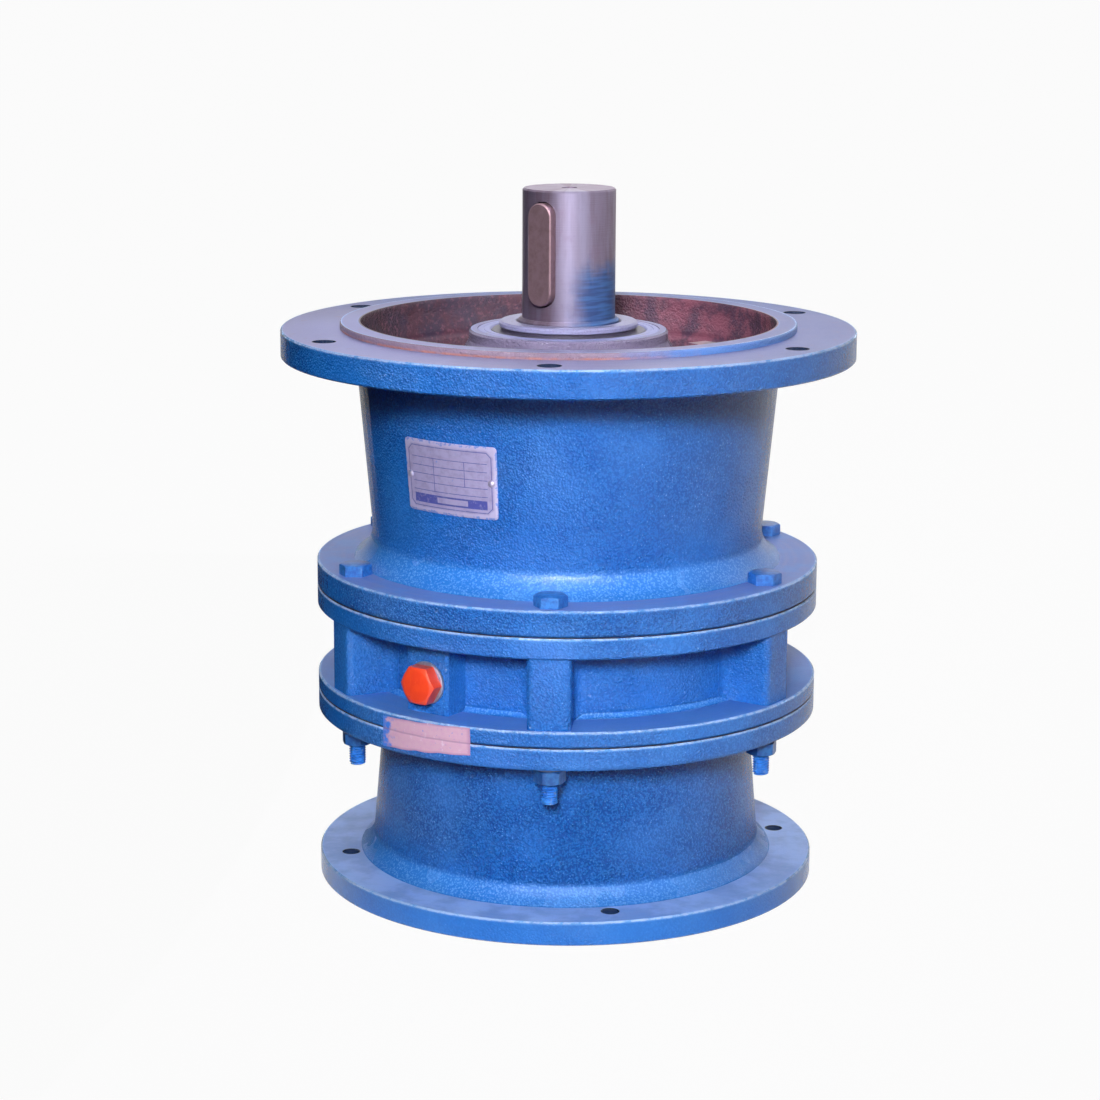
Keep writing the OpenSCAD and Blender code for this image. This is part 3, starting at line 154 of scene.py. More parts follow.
class ClampSettings(bpy.types.PropertyGroup):
    circle: FloatProperty(
        name="Bolt circle", description="Radius of the circle of clamp bolts",
        default=137 * MM, unit="LENGTH")
    count: IntProperty(name="Bolts", description="Number of clamp bolts", default=6, min=3)
    shank: FloatProperty(
        name="Shank", description="Radius of the bolts' threads", default=5 * MM, unit="LENGTH")
    head_flat: FloatProperty(
        name="Head", description="Half the width of a bolt head across its flats",
        default=8.5 * MM, unit="LENGTH")
    nut_flat: FloatProperty(
        name="Nut", description="Half the width of a nut across its flats",
        default=8 * MM, unit="LENGTH")
    pitch: FloatProperty(
        name="Pitch", description="Pitch of the bolts' threads", default=1.5 * MM, unit="LENGTH")
    seat: FloatProperty(
        name="Head seat", description="Height of the face under the bolt heads",
        default=CASING_LEDGE, unit="LENGTH")


class PlugSettings(bpy.types.PropertyGroup):
    paint: FloatVectorProperty(
        name="Paint", description="Colour of the oil plug", default=srgb(238, 72, 34),
        subtype="COLOR", min=0, max=1)
    flat: FloatProperty(
        name="Head", description="Half the width of the plug's head across its flats",
        default=10.5 * MM, unit="LENGTH")
    seat: FloatProperty(
        name="Seat", description="Distance of the plug's seat from the axis",
        default=137.2 * MM, unit="LENGTH")
    head: FloatProperty(
        name="Head height", description="Height of the plug's head", default=8.5 * MM,
        unit="LENGTH")
    facing: FloatProperty(
        name="Direction", description="Side that the plug is on",
        default=math.radians(-122), subtype="ANGLE")


class PlateSettings(bpy.types.PropertyGroup):
    metal: FloatVectorProperty(
        name="Metal", description="Colour of the plate's bare metal", default=srgb(176, 168, 208),
        subtype="COLOR", min=0, max=1)
    ink: FloatVectorProperty(
        name="Ink", description="Colour of the plate's rules and band", default=srgb(30, 52, 150),
        subtype="COLOR", min=0, max=1)
    width: FloatProperty(
        name="Width", description="Length of the plate round the casing", default=63 * MM,
        unit="LENGTH")
    facing: FloatProperty(
        name="Direction", description="Side that the plate is on",
        default=math.radians(-120), subtype="ANGLE")
    thickness: FloatProperty(
        name="Thickness", description="Thickness of the plate", default=0.8 * MM, unit="LENGTH")
    patch_paper: FloatVectorProperty(
        name="Patch", description="Colour of the blank paper patch", default=srgb(196, 158, 180),
        subtype="COLOR", min=0, max=1)


class ShaftSettings(bpy.types.PropertyGroup):
    steel: FloatVectorProperty(
        name="Steel", description="Colour of the turned shaft", default=srgb(150, 142, 170),
        subtype="COLOR", min=0, max=1)
    tarnish: FloatVectorProperty(
        name="Tarnish", description="Colour of the brown film on the shaft",
        default=srgb(92, 64, 76), subtype="COLOR", min=0, max=1)


class StageSettings(bpy.types.PropertyGroup):
    lens: FloatProperty(
        name="Lens", description="Focal length in millimetres", default=92.65, min=10, max=300)
    turn: FloatProperty(
        name="View turn", description="Degrees that the view is turned round the part",
        default=3.75, min=-180, max=180)
    fill: FloatProperty(
        name="Room light", description="Level of the even light from all round", default=0.07,
        min=0, max=2)
    key: FloatProperty(
        name="Key light", description="Power that the lamps are set by", default=2.1,
        subtype="POWER", min=0, max=500)


# ---- surfaces ----

class Skin:
    """Gathers grids of points into one mesh, with whole arrays and no loop over points."""

    def __init__(self):
        self.points, self.faces, self.places, self.count = [], [], [], 0

    def grid(self, points, around=False, along=False, places=None):
        """Joins a grid of points into quads. around closes it in its second direction, and along
        in its first. places are the pattern coordinates of the points."""
        rows, columns = points.shape[:2]
        index = np.arange(rows * columns).reshape(rows, columns) + self.count
        if around:
            index = np.concatenate([index, index[:, :1]], axis=1)
        if along:
            index = np.concatenate([index, index[:1]], axis=0)
        corners = [index[:-1, :-1], index[:-1, 1:], index[1:, 1:], index[1:, :-1]]
        self.faces.append(np.stack(corners, axis=-1).reshape(-1, 4))
        self.points.append(points.reshape(-1, 3))
        flat = np.zeros((rows * columns, 2)) if places is None else places.reshape(-1, 2)
        self.places.append(flat)
        self.count += rows * columns
        return self

    def mesh(self, name):
        """Makes the mesh, with the pattern coordinates of its points as a UV layer."""
        points = np.concatenate(self.points)
        faces = np.concatenate(self.faces)
        data = bpy.data.meshes.new(name)
        data.vertices.add(len(points))
        data.vertices.foreach_set("co", points.astype(np.float32).ravel())
        data.loops.add(faces.size)
        data.loops.foreach_set("vertex_index", faces.astype(np.int32).ravel())
        data.polygons.add(len(faces))
        data.polygons.foreach_set("loop_start", np.arange(0, faces.size, 4, dtype=np.int32))
        data.update(calc_edges=True)
        pattern = data.uv_layers.new(name="pattern")
        places = np.concatenate(self.places)[faces.ravel()]
        pattern.data.foreach_set("uv", places.astype(np.float32).ravel())
        data.validate(clean_customdata=False)
        return data


def lathe(radius, height, turns, angles=None):
    """Points of a profile carried round an upright axis: x = r cos a, y = r sin a, z = h.
    radius and height may change with the angle too, as arrays of rows by angles."""
    angle = np.linspace(0, 2 * np.pi, turns, endpoint=False) if angles is None else angles
    r = np.broadcast_to(np.asarray(radius, float).reshape(len(radius), -1),
                        (len(radius), len(angle)))
    h = np.broadcast_to(np.asarray(height, float).reshape(len(height), -1),
                        (len(height), len(angle)))
    return np.stack([r * np.cos(angle), r * np.sin(angle), h], axis=-1)


def hexagon(angle, flat, corner=0.994):
    """Distance from the middle of a hexagon to its edge: the flat's distance over the cosine of
    the angle from the nearest flat's middle, with the corners cut a little round."""
    from_flat = np.abs((angle + np.pi / 6) % (np.pi / 3) - np.pi / 6)
    sharp = flat / np.cos(from_flat)
    limit = corner * flat / math.cos(math.pi / 6)
    soft = 0.006 * flat
    return -np.logaddexp(-sharp / soft, -limit / soft) * soft


def hex_block(flat, foot, top, crown, foot_crown=0.0, turns=96, hole=0.0):
    """Hexagonal block from foot to top. Its radius is the smaller of the hexagon's and that of a
    cone which turns the crown, so the corners run down into the flats in the usual curves."""
    angle = np.linspace(0, 2 * np.pi, turns, endpoint=False)
    edge = hexagon(angle, flat)
    reach = flat / math.cos(math.pi / 6)
    slope = math.tan(math.radians(30))
    crown_r = np.linspace(crown, reach, 9)
    rows_r = [np.full(turns, hole), np.full(turns, crown * 0.985)]
    rows_h = [np.full(turns, top), np.full(turns, top)]
    for r in crown_r:
        rows_r.append(np.minimum(r, edge))
        rows_h.append(np.full(turns, top - 0.06 * MM - (r - crown) * slope))
    if foot_crown:
        for r in crown_r[::-1]:
            rows_r.append(np.minimum(r, edge))
            rows_h.append(np.full(turns, foot + 0.06 * MM + (r - crown) * slope))
        rows_r.append(np.full(turns, crown * 0.985))
    else:
        rows_r.append(edge)
        rows_h.append(np.full(turns, foot + 0.2 * MM))
        rows_r.append(edge - 0.2 * MM)
    rows_h.append(np.full(turns, foot))
    rows_r.append(np.full(turns, hole))
    rows_h.append(np.full(turns, foot))
    return lathe(np.array(rows_r)[::-1], np.array(rows_h)[::-1], turns)


def thread(radius, foot, top, pitch, depth, turns=40):
    """Screwed rod: its radius falls by a rounded wave of the height over the pitch less the turn
    round the axis, so one ridge climbs it as a helix, and fades out towards both ends."""
    rows = int((top - foot) / pitch * 8)
    height = np.linspace(foot, top, rows)[:, None]
    angle = np.linspace(0, 2 * np.pi, turns, endpoint=False)[None, :]
    wave = 0.5 - 0.5 * np.cos(2 * np.pi * (height / pitch - angle / (2 * np.pi)))
    fade = np.clip((top - height) / pitch, 0, 1)
    cut = depth * np.sqrt(wave) * fade
    end = np.clip((height - foot) / (0.8 * pitch), 0, 1)
    r = radius - cut - (1 - end) * 0.16 * radius
    tip = np.zeros((1, turns))
    rows_r = np.concatenate([tip, np.maximum(r[:1] - 0.1 * MM, 0), r])
    rows_h = np.concatenate([np.full((1, turns), foot), np.full((1, turns), foot),
                             np.broadcast_to(height, r.shape)])
    return lathe(rows_r, rows_h, turns)


def swept_ring(section, start, stop, rise, steps=64):
    """Closed section of (r, z) points carried round the axis from start to stop, climbing by rise
    on the way, with both ends drawn to their middles."""
    angle = np.linspace(start, stop, steps)[:, None]
    climb = rise * (angle - start) / (stop - start)
    r = np.broadcast_to(section[None, :, 0], (steps, len(section)))
    z = section[None, :, 1] + climb
    points = np.stack([r * np.cos(angle), r * np.sin(angle), z], axis=-1)
    ends = [np.broadcast_to(points[i].mean(axis=0), points[i].shape)[None] for i in (0, -1)]
    return np.concatenate([ends[0], points, ends[1]])


def rounded_box_section(r0, r1, z0, z1, bevel, per_corner=4):
    """Outline of a rectangle in (r, z) with quarter circles of the bevel at its corners."""
    quarter = np.linspace(0, np.pi / 2, per_corner)
    corners = []
    for turn, (r, z) in enumerate([(r1 - bevel, z1 - bevel), (r0 + bevel, z1 - bevel),
                                   (r0 + bevel, z0 + bevel), (r1 - bevel, z0 + bevel)]):
        a = quarter + turn * np.pi / 2
        corners.append(np.stack([r + bevel * np.cos(a), z + bevel * np.sin(a)], axis=-1))
    return np.concatenate(corners)


def turned_to(points, angle, reach, height):
    """Lays points drawn along +Z outwards: local z runs along the radius at that angle."""
    out = np.array([math.cos(angle), math.sin(angle), 0.0])
    side = np.array([-math.sin(angle), math.cos(angle), 0.0])
    up = np.array([0.0, 0.0, 1.0])
    place = out * reach + up * height
    return points[..., :1] * side + points[..., 1:2] * up + points[..., 2:3] * out + place


def stood_at(place, points, turn):
    """Turns points round the upright axis, then moves them to a place."""
    c, s = math.cos(turn), math.sin(turn)
    return points @ np.array([[c, s, 0], [-s, c, 0], [0, 0, 1]]) + place


def cone_radius(z):
    """Radius of the casing's cone at a height: its foot's, plus the slope times the climb."""
    return CONE_FOOT_R + CONE_SLOPE * (z - CASING_LEDGE)


def on_cone(facing, middle_z, x, y, lift):
    """Points of the casing's cone, lifted off it: x runs round it from the side it faces, y up it
    from the middle, and the angle is x over the cone's radius at the middle."""
    z = middle_z + y
    r = cone_radius(z) + lift
    a = facing + x / cone_radius(middle_z)
    return np.stack([r * np.cos(a), r * np.sin(a), z], axis=-1)


def rounded_rectangle(u, v, half_w, half_h, corner=2.2 * MM):
    """Maps the square from -1 to 1 to a rectangle, and draws what lies in each corner in towards
    the corner's own middle, by the longer side of its offset over the offset's length."""
    x, y = half_w * u, half_h * v
    over_x = np.maximum(np.abs(x) - (half_w - corner), 0)
    over_y = np.maximum(np.abs(y) - (half_h - corner), 0)
    reach = np.maximum(np.hypot(over_x, over_y), 1e-12)
    pull = np.where((over_x > 0) & (over_y > 0), np.maximum(over_x, over_y) / reach, 1.0)
    x = np.sign(x) * (np.minimum(np.abs(x), half_w - corner) + over_x * pull)
    y = np.sign(y) * (np.minimum(np.abs(y), half_h - corner) + over_y * pull)
    return x, y


def plate_skin(half_w, half_h, thickness, facing, middle_z):
    """Thin plate bent round the cone: a face that falls away as a square root near its rim and
    waves a little, an upright edge, and a flat back."""
    u, v = np.meshgrid(np.linspace(-1, 1, 64), np.linspace(-1, 1, 44))
    x, y = rounded_rectangle(u, v, half_w, half_h)
    back, crown = 0.10 * MM, 0.35 * MM
    shoulder = 0.12 * MM + thickness - crown
    rim = np.maximum(np.abs(u), np.abs(v))
    wave = 0.10 * MM * np.sin(3.1 * u + 0.6) * np.cos(2.3 * v) * (1 - rim ** 4)
    face = shoulder + crown * np.clip((1 - rim) / 0.03, 0, 1) ** 0.5 + wave
    edge = np.concatenate([np.stack([u[0], v[0]], -1), np.stack([u[:, -1], v[:, -1]], -1)[1:],
                           np.stack([u[-1], v[-1]], -1)[::-1][1:],
                           np.stack([u[:, 0], v[:, 0]], -1)[::-1][1:-1]])
    edge_x, edge_y = rounded_rectangle(edge[:, 0], edge[:, 1], half_w, half_h)

    def lifted(x, y, lift):
        return on_cone(facing, middle_z, x, y, np.broadcast_to(lift, x.shape))

    def pattern(x, y):
        return np.stack([0.5 + x / 0.1, 0.5 + y / 0.1], axis=-1)

    skin, spread, edge_spread = Skin(), pattern(x, y), pattern(edge_x, edge_y)
    skin.grid(lifted(x, y, face), places=spread)
    skin.grid(lifted(x, y, back)[:, ::-1], places=spread[:, ::-1])
    skin.grid(np.stack([lifted(edge_x, edge_y, shoulder), lifted(edge_x, edge_y, back)]),
              around=True, places=np.stack([edge_spread, edge_spread]))
    return skin


def patch_skin():
    """Thin ragged sheet round the two rims at the lower seam: its radius dips as a bell curve of
    the height over the groove between them, and one corner curls off as a square."""
    columns, rows = 72, 26
    s, t = np.linspace(0, 1, columns)[None, :], np.linspace(0, 1, rows)[:, None]
    start, stop = math.radians(-130.4), math.radians(-107.2)
    a = start + (stop - start) * s + 0 * t
    tears = np.random.default_rng(11).uniform(-0.35, 0.35, 13)
    ragged = np.interp(np.linspace(0, 1, columns), np.linspace(0, 1, 13), tears) * MM
    low_z = 105.0 * MM + (108.9 - 105.0) * MM * s + ragged
    top_z = 122.8 * MM + (125.0 - 122.8) * MM * s + ragged[::-1] * 0.5
    z = low_z + (top_z - low_z) * t
    groove = np.exp(-((z - 115.75 * MM) / (0.9 * MM)) ** 2)
    curl = 0.5 * MM * np.clip((s - 0.93) / 0.07, 0, 1) ** 2 * np.clip((t - 0.7) / 0.3, 0, 1)
    r = JOINT_RIM + 0.16 * MM - 0.22 * MM * groove + curl
    r = r - 0.10 * MM * np.clip((z - 124.4 * MM) / MM, 0, 1)
    outer = np.stack([r * np.cos(a), r * np.sin(a), z], axis=-1)
    inner = np.stack([(r - 0.1 * MM) * np.cos(a), (r - 0.1 * MM) * np.sin(a), z], axis=-1)
    spread = np.stack([s + 0 * t, t + 0 * s], axis=-1)
    skin = Skin()
    skin.grid(outer, places=spread)
    skin.grid(inner[:, ::-1], places=spread[:, ::-1])
    for above, below, place in ((outer[0], inner[0], spread[0]),
                                (inner[-1], outer[-1], spread[-1]),
                                (inner[:, 0], outer[:, 0], spread[:, 0]),
                                (outer[:, -1], inner[:, -1], spread[:, -1])):
        skin.grid(np.stack([above, below]), places=np.stack([place, place]))
    return skin


def set_stage(name, skin, material):
    """Adds a piece of the stage, which isn't part of the reducer."""
    data = skin.mesh(name)
    data.shade_smooth()
    data.materials.append(material)
    piece = bpy.data.objects.new(name, data)
    bpy.context.scene.collection.objects.link(piece)


def set_down(name, skin, body, material, replaces=()):
    """Makes an object of a skin, with its faces turned out and its edges kept sharp where they
    bend by more than CREASE, and gives it its finish, slot and body."""
    piece = bpy.data.objects.new(name, skin.mesh(name))
    bpy.context.scene.collection.objects.link(piece)
    bpy.ops.object.select_all(action="DESELECT")
    piece.select_set(True)
    bpy.context.view_layer.objects.active = piece
    bpy.ops.object.mode_set(mode="EDIT")
    bpy.ops.mesh.select_all(action="SELECT")
    bpy.ops.mesh.remove_doubles(threshold=1e-6)
    bpy.ops.mesh.dissolve_degenerate(threshold=1e-7)
    bpy.ops.mesh.normals_make_consistent(inside=False)
    bpy.ops.object.mode_set(mode="OBJECT")
    bpy.ops.object.shade_smooth_by_angle(angle=CREASE)
    piece.data.materials.append(material)
    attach(piece, body)
    if replaces:
        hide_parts(*replaces)
    return piece


# ---- shader expressions ----

class Link:
    """A socket of a node tree. +, -, * and / on it add the Math nodes that work them out."""

    def __init__(self, nodes, socket):
        self.nodes, self.socket = nodes, socket

    def __add__(self, other):
        return self.nodes.math("ADD", self, other)

    def __radd__(self, other):
        return self.nodes.math("ADD", other, self)

    def __sub__(self, other):
        return self.nodes.math("SUBTRACT", self, other)

    def __rsub__(self, other):
        return self.nodes.math("SUBTRACT", other, self)

    def __mul__(self, other):
        return self.nodes.math("MULTIPLY", self, other)

    def __rmul__(self, other):
        return self.nodes.math("MULTIPLY", other, self)

    def __truediv__(self, other):
        return self.nodes.math("DIVIDE", self, other)

    def __rtruediv__(self, other):
        return self.nodes.math("DIVIDE", other, self)

    def __abs__(self):
        return self.nodes.math("ABSOLUTE", self)


class Nodes:
    """A node tree, built from expressions on Link sockets."""

    def __init__(self, tree, output):
        self.tree = tree
        tree.nodes.clear()
        self.out = tree.nodes.new(output)

    def add(self, kind, settings=None, values=None, out=0):
        """Adds one node: its settings first, then a number, colour or link for each socket."""
        node = self.tree.nodes.new(kind)
        for key, value in (settings or {}).items():
            setattr(node, key, value)
        for key, value in (values or {}).items():
            if isinstance(value, Link):
                self.tree.links.new(value.socket, node.inputs[key])
            else:
                node.inputs[key].default_value = value
        return Link(self, node.outputs[out])

    def math(self, operation, first, second=0.0):
        """Number that a Math node works out from one or two others."""
        return self.add("ShaderNodeMath", {"operation": operation}, {0: first, 1: second})

    def low_of(self, first, second):
        return self.math("MINIMUM", first, second)

    def high_of(self, first, second):
        return self.math("MAXIMUM", first, second)

    def seen_by(self, *kinds):
        """1 for rays of any of those kinds, such as Camera or Glossy, and 0 for the others."""
        rays = self.add("ShaderNodeLightPath").socket.node.outputs
        return reduce(self.high_of, [Link(self, rays[f"Is {kind} Ray"]) for kind in kinds])

    def show(self, shader):
        """Sends a shader to the tree's output."""
        self.tree.links.new(shader.socket, self.out.inputs["Surface"])

    def show_mix(self, mask, below, above):
        """Shows the shader below where the mask is 0, and the one above where it is 1."""
        self.show(self.add("ShaderNodeMixShader", values={0: mask, 1: below, 2: above}))


class Finish(Nodes):
    """One material: a principled shader, and the patterns that go into its sockets."""

    def __init__(self, name):
        self.material = bpy.data.materials.new(name)
        self.material.use_nodes = True
        super().__init__(self.material.node_tree, "ShaderNodeOutputMaterial")
        self.shader = self.add("ShaderNodeBsdfPrincipled")
        self.show(self.shader)
        self.place = self.add("ShaderNodeTexCoord", out="Object")
        coordinates = self.place.socket.node.outputs
        self.normal = Link(self, coordinates["Normal"])
        self.pattern = Link(self, coordinates["UV"])

    def step(self, value, start, stop):
        """0 below start and 1 above stop, with a smooth rise between; falls if start > stop."""
        if start <= stop:
            low_end, high_end, to_low, to_high = start, stop, 0.0, 1.0
        else:
            low_end, high_end, to_low, to_high = stop, start, 1.0, 0.0
        return self.add("ShaderNodeMapRange", {"interpolation_type": "SMOOTHSTEP"},
                        {"Value": value, "From Min": low_end, "From Max": high_end,
                         "To Min": to_low, "To Max": to_high})

    def band(self, value, middle, half, soft):
        """1 within half of the middle, falling to 0 over soft outside it."""
        return self.step(abs(value - middle), half + soft, half)

    def mix(self, mask, below, above):
        """Colour that goes from below to above as the mask goes from 0 to 1."""
        def colour(value):
            return value if isinstance(value, Link) else opaque(value)
        return self.add("ShaderNodeMix", {"data_type": "RGBA"},
                        {0: mask, 6: colour(below), 7: colour(above)}, out=2)

    def parts(self, vector):
        """The three parts of a vector."""
        split = self.add("ShaderNodeSeparateXYZ", values={0: vector})
        node = split.socket.node
        return [Link(self, node.outputs[i]) for i in range(3)]

    def noise(self, size, detail=3.0, roughness=0.5, place=None, out=0):
        """Noise between 0 and 1 whose lumps are about that size across."""
        return self.add("ShaderNodeTexNoise", None,
                        {"Vector": place or self.place, "Scale": 1.0 / size,
                         "Detail": detail, "Roughness": roughness}, out=out)

    def cells(self, size, place=None, out=0, smooth=None):
        """Distance from the middles of scattered cells about that size across, or their colours;
        smooth rounds the edges between them."""
        settings = {"feature": "F1" if smooth is None else "SMOOTH_F1"}
        values = {"Vector": place or self.place, "Scale": 1.0 / size}
        if smooth is not None:
            values["Smoothness"] = smooth
        return self.add("ShaderNodeTexVoronoi", settings, values, out=out)

    def stretched(self, x, y, z, place=None):
        """Place with each direction scaled, so that a pattern on it is drawn out."""
        return self.add("ShaderNodeVectorMath", {"operation": "MULTIPLY"},
                        {0: place or self.place, 1: (x, y, z)})

    def joined(self, x, y, z):
        """Vector of three parts."""
        return self.add("ShaderNodeCombineXYZ", values={0: x, 1: y, 2: z})

    def bump(self, height, distance, below=None):
        """Normal of a surface raised by height times distance, over the normal below it."""
        values = {"Height": height, "Distance": distance, "Strength": 1.0}
        if below is not None:
            values["Normal"] = below
        return self.add("ShaderNodeBump", None, values)

    def finish(self, **sockets):
        """Fills the shader's own sockets. A link goes only to one that may change over a piece."""
        for key, value in sockets.items():
            name = "IOR" if key == "ior" else key.replace("_", " ").title()
            socket = self.shader.socket.node.inputs[name]
            if isinstance(value, Link):
                self.tree.links.new(value.socket, socket)
            elif socket.type == "RGBA":
                socket.default_value = opaque(value)
            else:
                socket.default_value = value
        return self.material


def round_the_axis(f):
    """Distance from the upright axis, angle round it and height of the point."""
    x, y, z = f.parts(f.place)
    return f.math("SQRT", x * x + y * y), f.math("ARCTAN2", y, x), z


def near_holes(f, r, angle, first, count, circle, hole):
    """1 inside holes of that radius spaced evenly on a circle, and 0 elsewhere."""
    share = 2 * math.pi / count
    turn = f.math("FLOORED_MODULO", angle - first + share / 2, share) - share / 2
    across = r * f.math("SINE", turn)
    outwards = r * f.math("COSINE", turn) - circle
    away = f.math("SQRT", across * across + outwards * outwards)
    return f.step(away, hole + 0.45 * MM, hole + 0.1 * MM)


def ring_mask(f, r, z, ring_r, ring_z, width):
    """1 on the circle of that radius and height, falling to 0 at width from it."""
    dr, dz = r - ring_r, z - ring_z
    return f.step(f.math("SQRT", dr * dr + dz * dz), width, 0.25 * width)


# ---- finishes ----

def flange_mist(f, settings, x, y, swirl, blotch):
    """Colour of the mist of paint on the output flange's face: streaked by the swirl, with a few
    brown
    stains, and with painted light: paler at the front left as a painted reflection, a deeper blue
    to the right and dark blue at the back as painted shade."""
    drift = (blotch - 0.5) * 70 * MM
    mist = f.mix(f.step(swirl, 0.32, 0.72) * 0.35, settings.faced, srgb(136, 132, 176))
    # painted reflection: paler lavender towards the front left
    pale = f.step(drift - x, 10 * MM, 120 * MM) * f.step(y, 60 * MM, -20 * MM)
    mist = f.mix(pale * 0.7, mist, srgb(148, 151, 206))
    # painted shade: a deeper blue towards the right
    painted_right_shade = f.step(x + drift, 50 * MM, 150 * MM)
    mist = f.mix(painted_right_shade * 0.6, mist, srgb(78, 98, 164))
    stain = f.step(f.noise(11 * MM, 4.0, 0.7), 0.58, 0.74)
    mist = f.mix(stain * 0.35, mist, srgb(140, 102, 126))
    # painted shade: dark blue towards the back
    away = f.step(y + drift, 40 * MM, 130 * MM)
    return f.mix(away * 0.8, mist, srgb(28, 70, 146))


def bowl_colour(f, settings, colour, x, r, z, faced, outward):
    """Lays the colours inside the spigot over the casting's own: red-brown primer with blue and
    grey mist drifting in, a greyed hub with a painted highlight along its edge, and the spigot's
    wall, half of it bare with a copper line along its foot."""
    inside = f.step(r, MOUTH_R + 1.5 * MM, MOUTH_R + 0.6 * MM) * f.step(z, 203 * MM, 206 * MM)
    cone_side = f.step(outward, 0.3, 0.6) * f.step(r, 98 * MM, 102 * MM)
    hub = f.step(r, HUB_R + 5 * MM, HUB_R + 2 * MM) * f.step(z, 300 * MM, 312 * MM)
    bowl = inside * (1 - cone_side) * (1 - hub)
    lumps = f.noise(19 * MM, 4.0, 0.65)
    primer = f.mix(f.step(lumps, 0.36, 0.66), settings.oxide, srgb(74, 60, 82))
    flecks = f.step(f.noise(2.6 * MM, 3.0, 0.6), 0.50, 0.72)
    primer = f.mix(flecks * 0.45, primer, srgb(150, 96, 116))
    red_side = f.step(x + (lumps - 0.5) * 120 * MM, 10 * MM, 60 * MM)
    primer = f.mix(red_side * (0.10 + 0.50 * f.step(lumps, 0.58, 0.42)), primer,
                   srgb(150, 88, 108))
    colour = f.mix(bowl, colour, primer)
    colour = f.mix(hub * inside * (1 - faced), colour, srgb(132, 122, 156))
    # painted highlight: a pale ring along the hub's top edge
    painted_hub_edge_highlight = ring_mask(f, r, z, HUB_R, HUB_TOP, 0.9 * MM)
    colour = f.mix(painted_hub_edge_highlight * 0.8, colour, srgb(200, 210, 244))

    wall = f.step(z, FLANGE_TOP - 0.6 * MM, FLANGE_TOP - 0.1 * MM) * (1 - faced)
    wall = wall * f.band(r, SPIGOT_R, 1.2 * MM, 0.8 * MM)
    bare = f.step(x + (lumps - 0.5) * 60 * MM, 75 * MM, 25 * MM)
    colour = f.mix(wall, colour, f.mix(bare, srgb(94, 138, 208), srgb(142, 122, 144)))
    foot_line = f.step(z, SPIGOT_TOP - 2.3 * MM, SPIGOT_TOP - 3.2 * MM) * wall * bare
    copper = f.step(f.noise(7 * MM, 3.0), 0.36, 0.56)
    return f.mix(foot_line * (0.2 + 0.5 * copper), colour, srgb(190, 124, 108))


